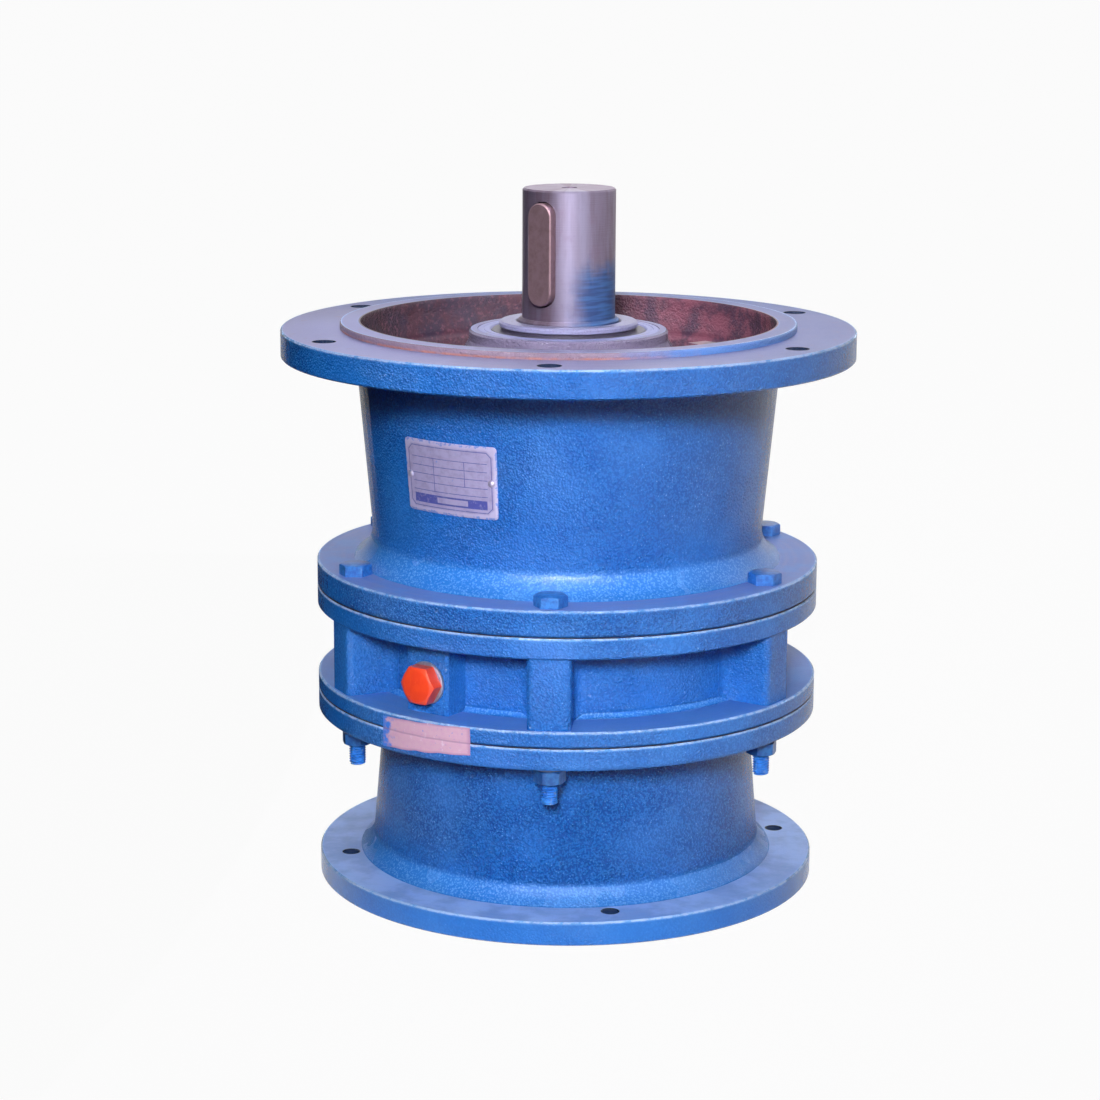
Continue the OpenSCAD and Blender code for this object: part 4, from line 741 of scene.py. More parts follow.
def hammered_enamel(name, settings, rough_bands, edges, holes=(), fillets=(), film=0.55,
                    low_face=None, output_side=False):
    """Blue hammered enamel over cast iron.

    rough_bands are (low z, high z, drop height) stretches where the drops stand high, and edges
    are (radius, height) of the turned edges, where the film is thin and worn, with a painted
    highlight line along them. holes are (low z, high z, first angle, count, circle, radius) of
    drilled holes, painted dark inside as shade. fillets are (radius of the middle, height of the
    middle, size) of the fillets that walls rise from, where wet paint pooled smooth, with painted
    highlight specks along them. film is how far turned faces pale, and those below low_face are
    painted paler still as painted light. The output side has a primed bowl, and only a mist of
    paint on its flange, with painted light and shade across it."""
    f = Finish(name)
    r, angle, z = round_the_axis(f)
    x, y, _ = f.parts(f.place)
    across, along, up = f.parts(f.normal)
    outward = (x * across + y * along) / f.high_of(r, MM)
    faced = f.step(up, 0.965, 0.992)
    drop = settings.drop_size

    rough = 0.16
    for start, stop, height in rough_bands:
        above = f.step(z, start - 2 * MM, start + 2 * MM)
        below = f.step(z, stop + 2 * MM, stop - 2 * MM)
        rough = f.high_of(rough, above * below * height)
    patchy = f.step(f.noise(38 * MM, 2.0), 0.30, 0.62)
    rough = rough * (0.55 + 0.45 * patchy) * (1 - 0.9 * faced)

    # in a fillet the paint lies smooth, so its normal is the fillet's own, and the drops sink
    pool, flow = 0.0, f.normal
    for middle_r, middle_z, size in fillets:
        inwards, upwards = (middle_r - r) / size, (middle_z - z) / size
        near = f.math("SQRT", inwards * inwards + upwards * upwards)
        ring = f.band(near, 1.0, 0.06, 0.06) * f.step(inwards, 0.0, 0.1)
        ring = ring * f.step(upwards, 0.0, 0.1) * (1 - faced)
        outwards = inwards / f.high_of(r, MM)
        flow = f.mix(ring, flow, f.joined(x * outwards, y * outwards, upwards))
        pool = f.high_of(pool, ring * f.step(upwards, 0.05, 0.35))
    rough = rough * (1 - 0.80 * pool)

    warp = f.noise(drop * 1.6, 2.0, out=1)
    wavy = f.add("ShaderNodeVectorMath", {"operation": "MULTIPLY_ADD"},
                 {0: warp, 1: (drop * 1.1,) * 3, 2: f.place})
    drops = 1 - f.cells(drop, place=wavy, smooth=0.35)
    peel = f.noise(drop * 0.75, 2.5, 0.6)
    dents = f.noise(drop * 3.4, 2.0)
    hammer = drops * 0.55 + peel * 0.75
    grain = f.noise(0.35 * MM, 2.0)
    turning = f.noise(0.6 * MM, 1.0, place=f.joined(r, 0.0, 0.0))
    relief = (hammer + dents * 0.5) * rough + faced * turning * 0.02 + grain * 0.02
    normal = f.bump(relief, settings.drop_height, flow)

    # painted highlight and shade: the drops are painted paler on top and darker between, as light
    # would fall on them, more so where they stand high
    painted_drop_highlight = f.step(hammer, 0.87, 0.97)
    painted_pit_shade = f.step(hammer, 0.72, 0.58)
    cloud = f.noise(62 * MM, 3.0, 0.55)
    paint = f.mix(f.step(cloud, 0.25, 0.75) * 0.10, settings.enamel, settings.enamel_pale_and_highlight)
    paint = f.mix(painted_drop_highlight * (0.04 + 0.62 * rough), paint, settings.enamel_pale_and_highlight)
    paint = f.mix(painted_pit_shade * (0.05 + 0.46 * rough), paint, settings.enamel_dark_and_shade)
    runs = f.noise(7 * MM, 3.0, 0.6, place=f.stretched(1, 1, 0.12))
    paint = f.mix(f.step(runs, 0.62, 0.82) * 0.14, paint, settings.enamel_dark_and_shade)

    # turned faces: thinner film, streaked round the axis and blotched
    swirl = f.noise(1.0, 3.0, 0.6, place=f.joined(r * 210, angle * 1.3, 0.0))
    blotch = f.noise(26 * MM, 4.0, 0.6)
    thin_film = f.mix(film * (1 + 0.4 * f.step(swirl, 0.34, 0.70)), paint, srgb(118, 132, 192))
    thin_film = f.mix(f.step(blotch, 0.46, 0.70) * 0.45, thin_film, srgb(80, 142, 216))
    # painted light: turned faces below low_face are painted paler, more so in blotches, to stand
    # in for light on the motor flange's face
    if low_face:
        painted_light_blotches = f.step(z, low_face, low_face - MM) * f.step(blotch, 0.62, 0.36)
        thin_film = f.mix(0.30 + 0.50 * painted_light_blotches, thin_film, srgb(160, 196, 254))
    colour = f.mix(faced, paint, thin_film)
    if output_side:
        on_top = faced * f.step(z, FLANGE_FOOT - 10 * MM, FLANGE_FOOT - 3 * MM)
        colour = f.mix(on_top, colour, flange_mist(f, settings, x, y, swirl, blotch))

    # painted highlight: the turned edges are painted pale as a line of light, and worn paler still
    # in patches
    thin = 0.0
    for ring_r, ring_z in edges:
        thin = f.high_of(thin, ring_mask(f, r, z, ring_r, ring_z, 2.1 * MM))
    edge_wear_and_highlight = f.step(f.noise(5 * MM, 3.0, 0.65) + thin * 0.5, 0.80, 1.02)
    colour = f.mix(thin * 0.5, colour, srgb(120, 188, 250))
    colour = f.mix(edge_wear_and_highlight * thin * 0.6, colour, srgb(190, 210, 246))

    # painted highlight: pale speckled glints painted along the fillets
    fillet_glint_speck = f.step(peel * 0.6 + drops * 0.4, 0.46, 0.66)
    colour = f.mix(pool * (0.05 + 0.22 * fillet_glint_speck), colour, srgb(150, 210, 255))

    if output_side:
        colour = bowl_colour(f, settings, colour, x, r, z, faced, outward)
    # painted shade: the insides of the drilled holes are painted dark
    for low_z, high_z, first, count, circle, hole in holes:
        level = f.step(z, low_z - MM, low_z) * f.step(z, high_z + MM, high_z)
        painted_hole_shade = near_holes(f, r, angle, first, count, circle, hole) * level
        colour = f.mix(painted_hole_shade * 0.9, colour, srgb(24, 26, 44))
    grime = f.noise(15 * MM, 5.0, 0.7)
    colour = f.mix(f.step(grime, 0.62, 0.80) * 0.12, colour, srgb(36, 52, 96))

    gloss = 0.17 + 0.08 * cloud + 0.24 * faced + 0.06 * pool
    return f.finish(base_color=colour, roughness=gloss, normal=normal, ior=1.46)


def fastener_paint(name, settings, chip=0.35, shade=1.0):
    """Enamel brushed over zinc, chipped to dull zinc in patches. shade scales the paint's colours
    as
    painted light: below 1 for a copy in painted shade, above 1 for a lit copy.
    """
    f = Finish(name)
    peel = f.noise(1.1 * MM, 3.0, 0.6)
    blot = f.noise(3.5 * MM, 3.0, 0.6)
    deep, pale = srgb(20, 84, 166), srgb(52, 126, 204)
    # painted light and shade: the paint's colours are scaled by shade
    paint = f.mix(f.step(blot, 0.35, 0.70), [c * shade for c in deep], [c * shade for c in pale])
    paint = f.mix(f.step(peel, 0.56, 0.74) * 0.5, paint, settings.enamel_dark_and_shade)
    chips = f.step(f.noise(2.2 * MM, 4.0, 0.7), 0.70 - 0.12 * chip, 0.78 - 0.12 * chip)
    colour = f.mix(chips * chip, paint, srgb(146, 158, 190))
    normal = f.bump(peel + blot * 0.6, 0.16 * MM)
    return f.finish(base_color=colour, roughness=0.34 + 0.12 * peel, metallic=chips * 0.5 * chip,
                    normal=normal, coat_weight=0.1, coat_roughness=0.2)


def misted_steel(name, steel, mist, share, size=6 * MM, rough=0.36):
    """Machined steel under a drifting mist of paint; share is how much of it is covered."""
    f = Finish(name)
    r, _, z = round_the_axis(f)
    drift = f.noise(size, 4.0, 0.65)
    mask = f.step(drift, 0.75 - 0.5 * share, 0.95 - 0.5 * share)
    lines = f.noise(0.5 * MM, 1.0, place=f.joined(r, 0.0, z))
    fleck = f.noise(0.9 * MM, 2.0)
    metal = f.mix(f.step(lines, 0.3, 0.7) * 0.5, steel, [c * 0.72 for c in steel])
    metal = f.mix(f.step(fleck, 0.56, 0.72) * 0.35, metal, srgb(116, 96, 104))
    colour = f.mix(mask, metal, mist)
    normal = f.bump(lines * 0.5 + fleck * 0.5, 0.05 * MM)
    return f.finish(base_color=colour, roughness=rough + 0.14 * mask, normal=normal,
                    metallic=0.85 - 0.75 * mask)


def turned_shaft(name, settings):
    """Ground and oiled shaft: fine rings round it, a brown film in tall streaks, and a smear of
    enamel low on the side away from the key."""
    f = Finish(name)
    r, angle, z = round_the_axis(f)
    _, _, up = f.parts(f.normal)
    end = f.step(abs(up), 0.8, 0.95)
    rings = f.noise(0.34 * MM, 1.5, place=f.joined(0.0, 0.0, z)) * (1 - end)
    rings = rings + f.noise(0.4 * MM, 1.5, place=f.joined(r, 0.0, 0.0)) * end
    streak = f.noise(1.0, 4.0, 0.6, place=f.joined(angle * 3.2, 0.0, z * 12))
    # painted light: the brown film is made thin down the front, where a pale sheen is painted, and
    # thick down both flanks as painted shade
    front_sheen_flank_shade = f.step(abs(angle + math.radians(78)), 0.55, 0.05)
    film = f.low_of(f.step(streak, 0.40, 0.70) * 0.6 + (1 - front_sheen_flank_shade) * 0.6, 1.0)
    cloud = f.noise(14 * MM, 4.0, 0.65)
    colour = f.mix(film * 0.75, settings.steel, settings.tarnish)
    # painted highlight: a pale sheen down the front
    colour = f.mix(front_sheen_flank_shade * 0.24 * (1 - end), colour, srgb(190, 184, 220))
    colour = f.mix(f.step(cloud, 0.50, 0.72) * 0.35, colour, srgb(128, 98, 124))
    colour = f.mix(f.step(rings, 0.42, 0.62) * 0.10, colour, srgb(186, 180, 204))
    spots = f.step(f.noise(2.4 * MM, 5.0, 0.7), 0.66, 0.76)
    colour = f.mix(spots * 0.35, colour, srgb(92, 62, 66))
    # enamel smeared up from the foot, on the side away from the key
    lower = f.step(z, SHAFT_TOP - 18 * MM, SHAFT_TOP - 72 * MM)
    patch = f.noise(10 * MM, 4.0, 0.6, place=f.stretched(1, 1, 0.6))
    beside = f.step(abs(angle + math.radians(30)) + (patch - 0.5) * 0.5, 1.12, 0.50)
    smear = f.step(lower + (patch - 0.5) * 0.9, 0.30, 0.80) * beside
    brushed = f.step(f.noise(2 * MM, 2.0, place=f.stretched(0.1, 0.1, 1)), 0.35, 0.65)
    colour = f.mix(smear * 0.9, colour, f.mix(brushed, srgb(26, 62, 116), srgb(48, 98, 158)))
    # painted shade: the centre hole in the shaft's end is painted as a dark disc
    drilled = f.step(r, 4.6 * MM, 3.6 * MM)
    colour = f.mix(drilled * 0.85, colour, srgb(38, 34, 44))
    normal = f.bump(rings * 0.6 + cloud * 0.3 + smear * 0.8, 0.05 * MM)
    return f.finish(base_color=colour, roughness=0.30 + 0.16 * film + 0.10 * smear, normal=normal,
                    metallic=0.78 - 0.6 * smear - 0.15 * film)


def dark_steel(name, tint=(92, 80, 90)):
    """Hardened steel with an oily oxide skin."""
    f = Finish(name)
    cloud = f.noise(5 * MM, 4.0, 0.65)
    scratch = f.noise(0.7 * MM, 3.0, 0.6, place=f.stretched(1, 1, 0.08))
    base = srgb(*tint)
    colour = f.mix(f.step(cloud, 0.35, 0.70), base, [c * 0.78 for c in base])
    colour = f.mix(f.step(scratch, 0.60, 0.78) * 0.3, colour, srgb(150, 138, 150))
    normal = f.bump(scratch + cloud * 0.5, 0.05 * MM)
    return f.finish(base_color=colour, roughness=0.34 + 0.18 * cloud, metallic=0.75,
                    normal=normal)


def bearing_steel(name):
    """Polished bearing steel: rings from grinding and a faint straw bloom."""
    f = Finish(name)
    r, _, z = round_the_axis(f)
    lines = f.noise(0.3 * MM, 1.0, place=f.joined(r, 0.0, z))
    bloom = f.noise(12 * MM, 3.0)
    colour = f.mix(f.step(bloom, 0.45, 0.75) * 0.3, srgb(206, 208, 214), srgb(190, 176, 150))
    colour = f.mix(f.step(lines, 0.4, 0.7) * 0.2, colour, srgb(150, 152, 160))
    return f.finish(base_color=colour, roughness=0.16 + 0.10 * lines, metallic=1.0,
                    normal=f.bump(lines, 0.01 * MM))


def cage_brass(name):
    """Machined brass that has begun to brown."""
    f = Finish(name)
    cloud = f.noise(6 * MM, 4.0, 0.6)
    lines = f.noise(0.4 * MM, 2.0, place=f.stretched(0.3, 0.3, 1))
    colour = f.mix(f.step(cloud, 0.4, 0.7) * 0.6, srgb(206, 168, 88), srgb(140, 98, 46))
    colour = f.mix(f.step(lines, 0.55, 0.75) * 0.3, colour, srgb(232, 204, 130))
    return f.finish(base_color=colour, roughness=0.28 + 0.15 * cloud, metallic=1.0,
                    normal=f.bump(lines, 0.02 * MM))


def gasket_paper(name):
    """Dark oiled paper squeezed between flanges, with paint at its edge."""
    f = Finish(name)
    fibre = f.noise(0.8 * MM, 4.0, 0.7, place=f.stretched(1, 1, 0.2))
    soak = f.noise(9 * MM, 3.0)
    colour = f.mix(f.step(soak, 0.4, 0.7), srgb(26, 28, 44), srgb(20, 44, 96))
    colour = f.mix(f.step(fibre, 0.55, 0.8) * 0.4, colour, srgb(60, 56, 62))
    return f.finish(base_color=colour, roughness=0.72 + 0.15 * fibre,
                    normal=f.bump(fibre, 0.06 * MM))


def seal_rubber(name, misted, collar=None):
    """Nitrile rubber; misted is how much of it the paint mist reached. collar is (lip radius, foot
    height) of a collar that stands up, with painted shade along its foot and at its lip, and a
    painted highlight round its top rim."""
    f = Finish(name)
    r, _, z = round_the_axis(f)
    skin = f.noise(0.5 * MM, 3.0, 0.6)
    ribs = f.noise(0.8 * MM, 1.0, place=f.joined(r, 0.0, z))
    drift = f.noise(8 * MM, 4.0, 0.65)
    mask = f.step(drift, 0.62 - 0.6 * misted, 0.86 - 0.6 * misted)
    colour = f.mix(f.step(ribs, 0.35, 0.7) * 0.5, srgb(38, 36, 44), srgb(60, 56, 66))
    colour = f.mix(mask * misted, colour, srgb(150, 150, 192))
    if collar:
        bare = f.high_of(f.step(r, collar[0] + 1.4 * MM, collar[0] + 0.6 * MM),
                         f.step(z, collar[1] + 1.9 * MM, collar[1] + 1.3 * MM))
        flecks = f.step(f.noise(1.3 * MM, 3.0, 0.65), 0.50, 0.68)
        colour = f.mix(flecks * 0.4, colour, srgb(112, 92, 122))
        # painted shade: dark along the collar's foot and at its lip
        colour = f.mix(bare * 0.85, colour, srgb(44, 34, 46))
        # painted highlight: a pale ring round the seal's top rim
        painted_brim_highlight = ring_mask(f, r, z, high("output_oil_seal").x, high("output_oil_seal").z, 1.2 * MM)
        colour = f.mix(painted_brim_highlight * 0.6, colour, srgb(196, 196, 228))
    return f.finish(base_color=colour, roughness=0.5 - 0.1 * mask,
                    normal=f.bump(skin * 0.5 + ribs * 0.5, 0.08 * MM))


def plug_paint(name, settings):
    """Orange-red brushed enamel, streaked and pooled, with a few blue specks of overspray."""
    f = Finish(name)
    brush = f.noise(1.4 * MM, 3.0, 0.6, place=f.stretched(1, 1, 0.35))
    pool = f.noise(7 * MM, 2.0)
    colour = f.mix(f.step(pool, 0.35, 0.65) * 0.5, settings.paint, srgb(222, 56, 34))
    colour = f.mix(f.step(brush, 0.55, 0.75) * 0.3, colour, srgb(248, 100, 54))
    specks = f.step(f.cells(5.5 * MM), 0.10, 0.06)
    colour = f.mix(specks * 0.6, colour, srgb(120, 58, 92))
    return f.finish(base_color=colour, roughness=0.30 + 0.12 * brush, coat_weight=0.35,
                    coat_roughness=0.12, normal=f.bump(brush + pool * 0.6, 0.12 * MM))


def zinc(name, tint=(164, 170, 190)):
    """Dull zinc with spangle and a little paint."""
    f = Finish(name)
    spangle = f.cells(2.6 * MM, out="Color")
    shade, _, _ = f.parts(spangle)
    cloud = f.noise(4 * MM, 4.0, 0.65)
    base = srgb(*tint)
    colour = f.mix(shade * 0.4, base, [c * 0.6 for c in base])
    colour = f.mix(f.step(cloud, 0.52, 0.70) * 0.6, colour, srgb(66, 110, 186))
    return f.finish(base_color=colour, roughness=0.36 + 0.16 * cloud,
                    metallic=0.8 - 0.5 * f.step(cloud, 0.52, 0.70),
                    normal=f.bump(cloud, 0.06 * MM))


def plate_metal(name, settings):
    """Etched nameplate without words: a pale border, a thin frame with cut corners, ruled rows
    and a dark band with a bare box, all by the plate's own coordinates in millimetres."""
    f = Finish(name)
    u, v, _ = f.parts(f.pattern)
    x, y = (u - 0.5) * 100, (v - 0.5) * 100
    half_w, half_h = 50 * settings.width / (100 * MM), 20.5

    def line(value, at, half):
        return f.band(value, at, half, 0.12)

    def boxed(x0, x1, y0, y1, soft=0.12):
        return (f.step(x, x0 - soft, x0 + soft) * f.step(x, x1 + soft, x1 - soft)
                * f.step(y, y0 - soft, y0 + soft) * f.step(y, y1 + soft, y1 - soft))

    frame_d = f.high_of(abs(x) - (half_w - 3.2), abs(y) - (half_h - 3.0))
    frame_d = f.high_of(frame_d, (abs(x) + abs(y) - (half_w + half_h - 9.0)) * 0.7)
    frame_line = line(frame_d, 0.0, 0.22)
    inside = f.step(frame_d, 0.1, -0.1)
    rows = 0.0
    for at in (11.0, 6.2, 1.4, -3.4, -8.2):
        rows = f.high_of(rows, line(y, at, 0.16))
    posts = line(x, -9.5, 0.16) * f.step(y, 11.2, 11.0) * f.step(y, -8.4, -8.2)
    posts = f.high_of(posts, line(x, 11.5, 0.16) * f.step(y, 11.2, 11.0) * f.step(y, -3.5, -3.4))
    rules = f.high_of(rows, posts) * inside * f.step(abs(x), half_w - 5.5, half_w - 6.0)
    band_area = boxed(-half_w + 6.2, half_w - 6.2, -15.6, -10.4)
    pale_box = boxed(-8.0, 13.0, -14.6, -11.4)
    smudge = f.noise(4.5 * MM, 4.0, 0.65)
    brushed = f.noise(0.3 * MM, 2.0, place=f.stretched(0.06, 0.06, 1.0))
    metal = f.mix(f.step(smudge, 0.4, 0.7) * 0.45, settings.metal, srgb(132, 122, 168))
    metal = f.mix(f.step(brushed, 0.4, 0.7) * 0.25, metal, srgb(186, 178, 214))
    border = f.step(frame_d, 0.6, 1.4)
    metal = f.mix(border * 0.6, metal, srgb(206, 198, 230))
    ink = f.high_of(f.high_of(frame_line * 0.7, rules * 0.75), band_area * (1 - pale_box) * 0.85)
    worn = 1 - 0.45 * f.step(f.noise(2.2 * MM, 4.0, 0.7), 0.50, 0.70)
    colour = f.mix(ink * worn, metal, settings.ink)
    near_rim = f.step(f.high_of(abs(x) - half_w, abs(y) - half_h), -2.0, 0.0)
    spray = f.step(f.noise(3.0 * MM, 3.0, 0.7) + near_rim * 0.22, 0.66, 0.78)
    colour = f.mix(spray * 0.7, colour, srgb(86, 132, 214))
    relief = frame_line * 0.6 + rules * 0.4 + band_area * 0.3 + brushed * 0.15
    return f.finish(base_color=colour, roughness=0.34 + 0.14 * smudge, metallic=0.25 - 0.2 * ink,
                    normal=f.bump(relief, 0.10 * MM))


def patch_paper(name, settings):
    """Blank paper patch: pale pink, scuffed and greying at its rim, with enamel over one end."""
    f = Finish(name)
    u, v, _ = f.parts(f.pattern)
    scuff = f.noise(2.6 * MM, 5.0, 0.7)
    fibre = f.noise(0.4 * MM, 3.0, 0.6)
    edge = f.high_of(abs(u - 0.5) * 2 - 0.93, (abs(v - 0.5) * 2 - 0.86) * 0.5)
    colour = f.mix(f.step(scuff, 0.42, 0.72) * 0.55, settings.patch_paper, srgb(190, 142, 180))
    colour = f.mix(f.step(edge, -0.02, 0.06) * 0.55, colour, srgb(150, 104, 150))
    colour = f.mix(f.step(f.noise(5 * MM, 4.0, 0.65), 0.60, 0.72) * 0.5, colour,
                   srgb(214, 204, 226))
    brushed_over = f.step(u + (f.noise(3.4 * MM, 3.0, 0.6) - 0.5) * 0.4, 0.13, 0.02)
    colour = f.mix(brushed_over, colour, srgb(52, 118, 214))
    specks = f.step(f.noise(1.5 * MM, 2.0), 0.68, 0.74)
    colour = f.mix(specks * 0.7, colour, srgb(70, 120, 206))
    # painted shade: a dark line where the patch dips into the groove between the two rims
    painted_groove_shade = f.band(v + u * 0.18, 0.604, 0.012, 0.03)
    colour = f.mix(painted_groove_shade * 0.55, colour, srgb(132, 104, 140))
    return f.finish(base_color=colour, roughness=0.48 + 0.2 * scuff,
                    normal=f.bump(fibre * 0.4 + scuff + brushed_over * 0.8, 0.10 * MM))


# ---- pieces ----

class ReducerOperator(bpy.types.Operator):
    """One step that dresses the reducer"""
    bl_options = {"REGISTER", "UNDO"}

    def settings(self, context, group):
        """The group of sizes and colours of that name."""
        return getattr(context.scene, "reducer_" + group)


def paint_node(material, *names):
    """Gives CAD nodes a finish in every slot they have."""
    for name in names:
        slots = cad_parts[name].data.materials
        slots.clear()
        slots.append(material)


class REDUCER_OT_castings(ReducerOperator):
    """Enamel on the output casing, pin housing and motor adapter"""
    bl_idname = "reducer.castings"
    bl_label = "Castings"

    def execute(self, context):
        own = self.settings(context, "casting")
        paint_node(hammered_enamel(
            "casing_enamel", own,
            rough_bands=[(CASING_FOOT, CASING_FOOT + 15 * MM, 1.15),
                         (CASING_FOOT + 15 * MM, FLANGE_FOOT - 3 * MM, 0.95),
                         (FLANGE_FOOT, SPIGOT_TOP, 0.80)],
            edges=[(OUTPUT_RIM, FLANGE_TOP), (SPIGOT_R, SPIGOT_TOP), (JOINT_RIM, CASING_LEDGE),
                   (HUB_R, HUB_TOP), (MOUTH_R, SPIGOT_TOP)],
            holes=[(FLANGE_FOOT, SPIGOT_TOP - 3 * MM, -math.pi / 2, 6, 155 * MM, 6.75 * MM)],
            fillets=[(134.7 * MM, CASING_FOOT + 33.1 * MM, 18 * MM)],
            output_side=True), "output_casing")
        paint_node(hammered_enamel(
            "housing_enamel", own,
            rough_bands=[(HOUSING_FOOT, HOUSING_TOP, 0.80)],
            edges=[(JOINT_RIM, HOUSING_TOP), (JOINT_RIM, HOUSING_LEDGE)],
            fillets=[(124 * MM, HOUSING_FOOT + 13.3 * MM, 4 * MM)],
            film=0.25), "pin_housing")
        paint_node(hammered_enamel(
            "adapter_enamel", own,
            rough_bands=[(MOTOR_FLANGE_TOP, ADAPTER_TOP - 12.5 * MM, 1.45),
                         (ADAPTER_TOP - 12 * MM, ADAPTER_TOP, 0.85),
                         (0.0, MOTOR_FLANGE_TOP, 0.25)],
            edges=[(JOINT_RIM, ADAPTER_TOP), (JOINT_RIM, MOTOR_FLANGE_TOP)],
            holes=[(0.0, MOTOR_FLANGE_TOP, math.radians(-75), 4, 132.5 * MM, 5.2 * MM)],
            fillets=[(130.9 * MM, MOTOR_FLANGE_TOP + 14 * MM, 14 * MM)],
            low_face=MOTOR_FLANGE_TOP + 2 * MM), "motor_adapter")
        paint_node(gasket_paper("gasket_edge"), "adapter_gasket", "casing_gasket")
        return {"FINISHED"}


class REDUCER_OT_clamp_bolts(ReducerOperator):
    """Clamp bolts with turned hexagon heads and cut threads, their nuts and split washers"""
    bl_idname = "reducer.clamp_bolts"
    bl_label = "Clamp bolts"

    def execute(self, context):
        own = self.settings(context, "clamp")
        paint = self.settings(context, "casting")
        bolts, nuts, washers = Skin(), Skin(), Skin()
        turns = np.random.default_rng(7).uniform(0, math.pi / 3, (own.count, 2))
        head = hex_block(own.head_flat, own.seat, BOLT_HEAD_TOP, own.head_flat * 0.975)
        rod = thread(own.shank, BOLT_TIP, NUT_TOP + 6 * MM, own.pitch, 0.62 * own.pitch)
        plain_r = [own.shank * 0.97, own.shank * 0.97, 0.0]
        plain_h = [NUT_TOP + 6 * MM, own.seat + 0.5 * MM, own.seat + 0.5 * MM]
        plain = lathe(plain_r, plain_h, 40)
        nut = hex_block(own.nut_flat, NUT_FOOT, NUT_TOP, own.nut_flat * 0.95,
                        foot_crown=own.nut_flat * 0.95, hole=own.shank * 0.99)
        section = rounded_box_section(own.shank + 0.3 * MM, own.nut_flat + 0.8 * MM,
                                      NUT_TOP + 0.02 * MM, WASHER_TOP - 0.35 * MM, 0.35 * MM)
        gap = math.radians(9)
        spring = swept_ring(section, gap, 2 * math.pi - gap, 0.32 * MM)
        for i in range(own.count):
            at = -math.pi / 2 + i * 2 * math.pi / own.count
            place = np.array([math.cos(at), math.sin(at), 0.0]) * own.circle
            bolts.grid(stood_at(place, head, at), around=True)
            bolts.grid(stood_at(place, rod, turns[i, 0]), around=True)
            bolts.grid(stood_at(place, plain, at), around=True)
            nuts.grid(stood_at(place, nut, turns[i, 0]), around=True, along=True)
            washers.grid(stood_at(place, spring, at + 0.7 + turns[i, 1]), around=True)
        enamel = fastener_paint("bolt_enamel", paint, 0.30)
        # painted light: the threaded ends take a copy of the paint made 1.35 times lighter
        tips = fastener_paint("stud_zinc_painted_light", paint, 1.0, 1.35)
        bolt_piece = set_down("threaded_clamp_bolts", bolts, "housing", enamel,
                              ["clamp_bolts"])
        bolt_piece.data.materials.append(tips)
        heights = np.zeros(len(bolt_piece.data.polygons) * 3)
        bolt_piece.data.polygons.foreach_get("center", heights)
        finish_index = (heights.reshape(-1, 3)[:, 2] < NUT_TOP).astype(np.int32)
        bolt_piece.data.polygons.foreach_set("material_index", finish_index)
        # painted shade: the nuts take a copy of the paint made 0.62 times as light
        set_down("chamfered_clamp_nuts", nuts, "housing",
                 fastener_paint("nut_enamel_painted_shade", paint, 0.25, 0.62), ["clamp_nuts"])
        set_down("split_spring_washers", washers, "housing",
                 dark_steel("washer_steel", (84, 96, 132)), ["clamp_washers"])
        return {"FINISHED"}


class REDUCER_OT_oil_plug(ReducerOperator):
    """Orange-red oil plug with a turned hexagon head, and its sealing ring"""
    bl_idname = "reducer.oil_plug"
    bl_label = "Oil plug"

    def execute(self, context):
        own = self.settings(context, "plug")
        plug, seal = Skin(), Skin()
        body = hex_block(own.flat, 0.0, own.head, own.flat * 0.90, turns=120)
        body = body[..., [1, 0, 2]]
        plug.grid(turned_to(body, own.facing, own.seat, PLUG_MID), around=True)
        shank = lathe(np.array([9, 9, 8, 0]) * MM, np.array([0.2, -14.5, -15.8, -15.8]) * MM, 64)
        plug.grid(turned_to(shank, own.facing, own.seat, PLUG_MID), around=True)
        section = rounded_box_section(9.2 * MM, 12.45 * MM, -2 * MM, 0.0, 0.5 * MM, 5)
        ring = lathe(section[:, 0], section[:, 1], 80)
        seal.grid(turned_to(ring, own.facing, own.seat, PLUG_MID), around=True, along=True)
        set_down("orange_oil_plug", plug, "housing", plug_paint("plug_paint", own),
                 ["oil_plug"])
        set_down("plug_sealing_ring", seal, "housing", zinc("ring_aluminium", (178, 182, 204)),
                 ["oil_plug_seal"])
        return {"FINISHED"}


class REDUCER_OT_nameplate(ReducerOperator):
    """Blank etched plate on the casing's cone, its rivets, and the blank patch low down"""
    bl_idname = "reducer.nameplate"
    bl_label = "Plate and patch"

    def execute(self, context):
        own = self.settings(context, "plate")
        middle_z, half_h = (PLATE_FOOT + PLATE_TOP) / 2, (PLATE_TOP - PLATE_FOOT) / 2
        half_w = own.width / 2
        plate = plate_skin(half_w, half_h, own.thickness, own.facing, middle_z)
        set_down("blank_nameplate", plate, "housing", plate_metal("etched_plate", own),
                 ["nameplate"])

        rivets = Skin()
        arc = np.linspace(0, np.pi / 2, 8)[1:]
        dome_r = np.concatenate([[0.0], 2.2 * np.sin(arc), [2.2, 0.0]]) * MM
        dome_z = np.concatenate([[1.25], 1.25 * np.cos(arc), [-0.35, -0.35]]) * MM
        dome = lathe(dome_r[::-1], dome_z[::-1], 32)
        wall_r = cone_radius(middle_z)
        for sign in (-1, 1):
            at = own.facing + sign * (half_w / wall_r - math.radians(1.6))
            head = turned_to(dome, at, wall_r + own.thickness + 0.1 * MM, middle_z)
            rivets.grid(head, around=True)
        set_down("domed_rivets", rivets, "housing", zinc("rivet_metal", (188, 180, 206)),
                 ["nameplate_rivets"])
        set_down("blank_paper_patch", patch_skin(), "housing",
                 patch_paper("pink_paper", own))
        return {"FINISHED"}


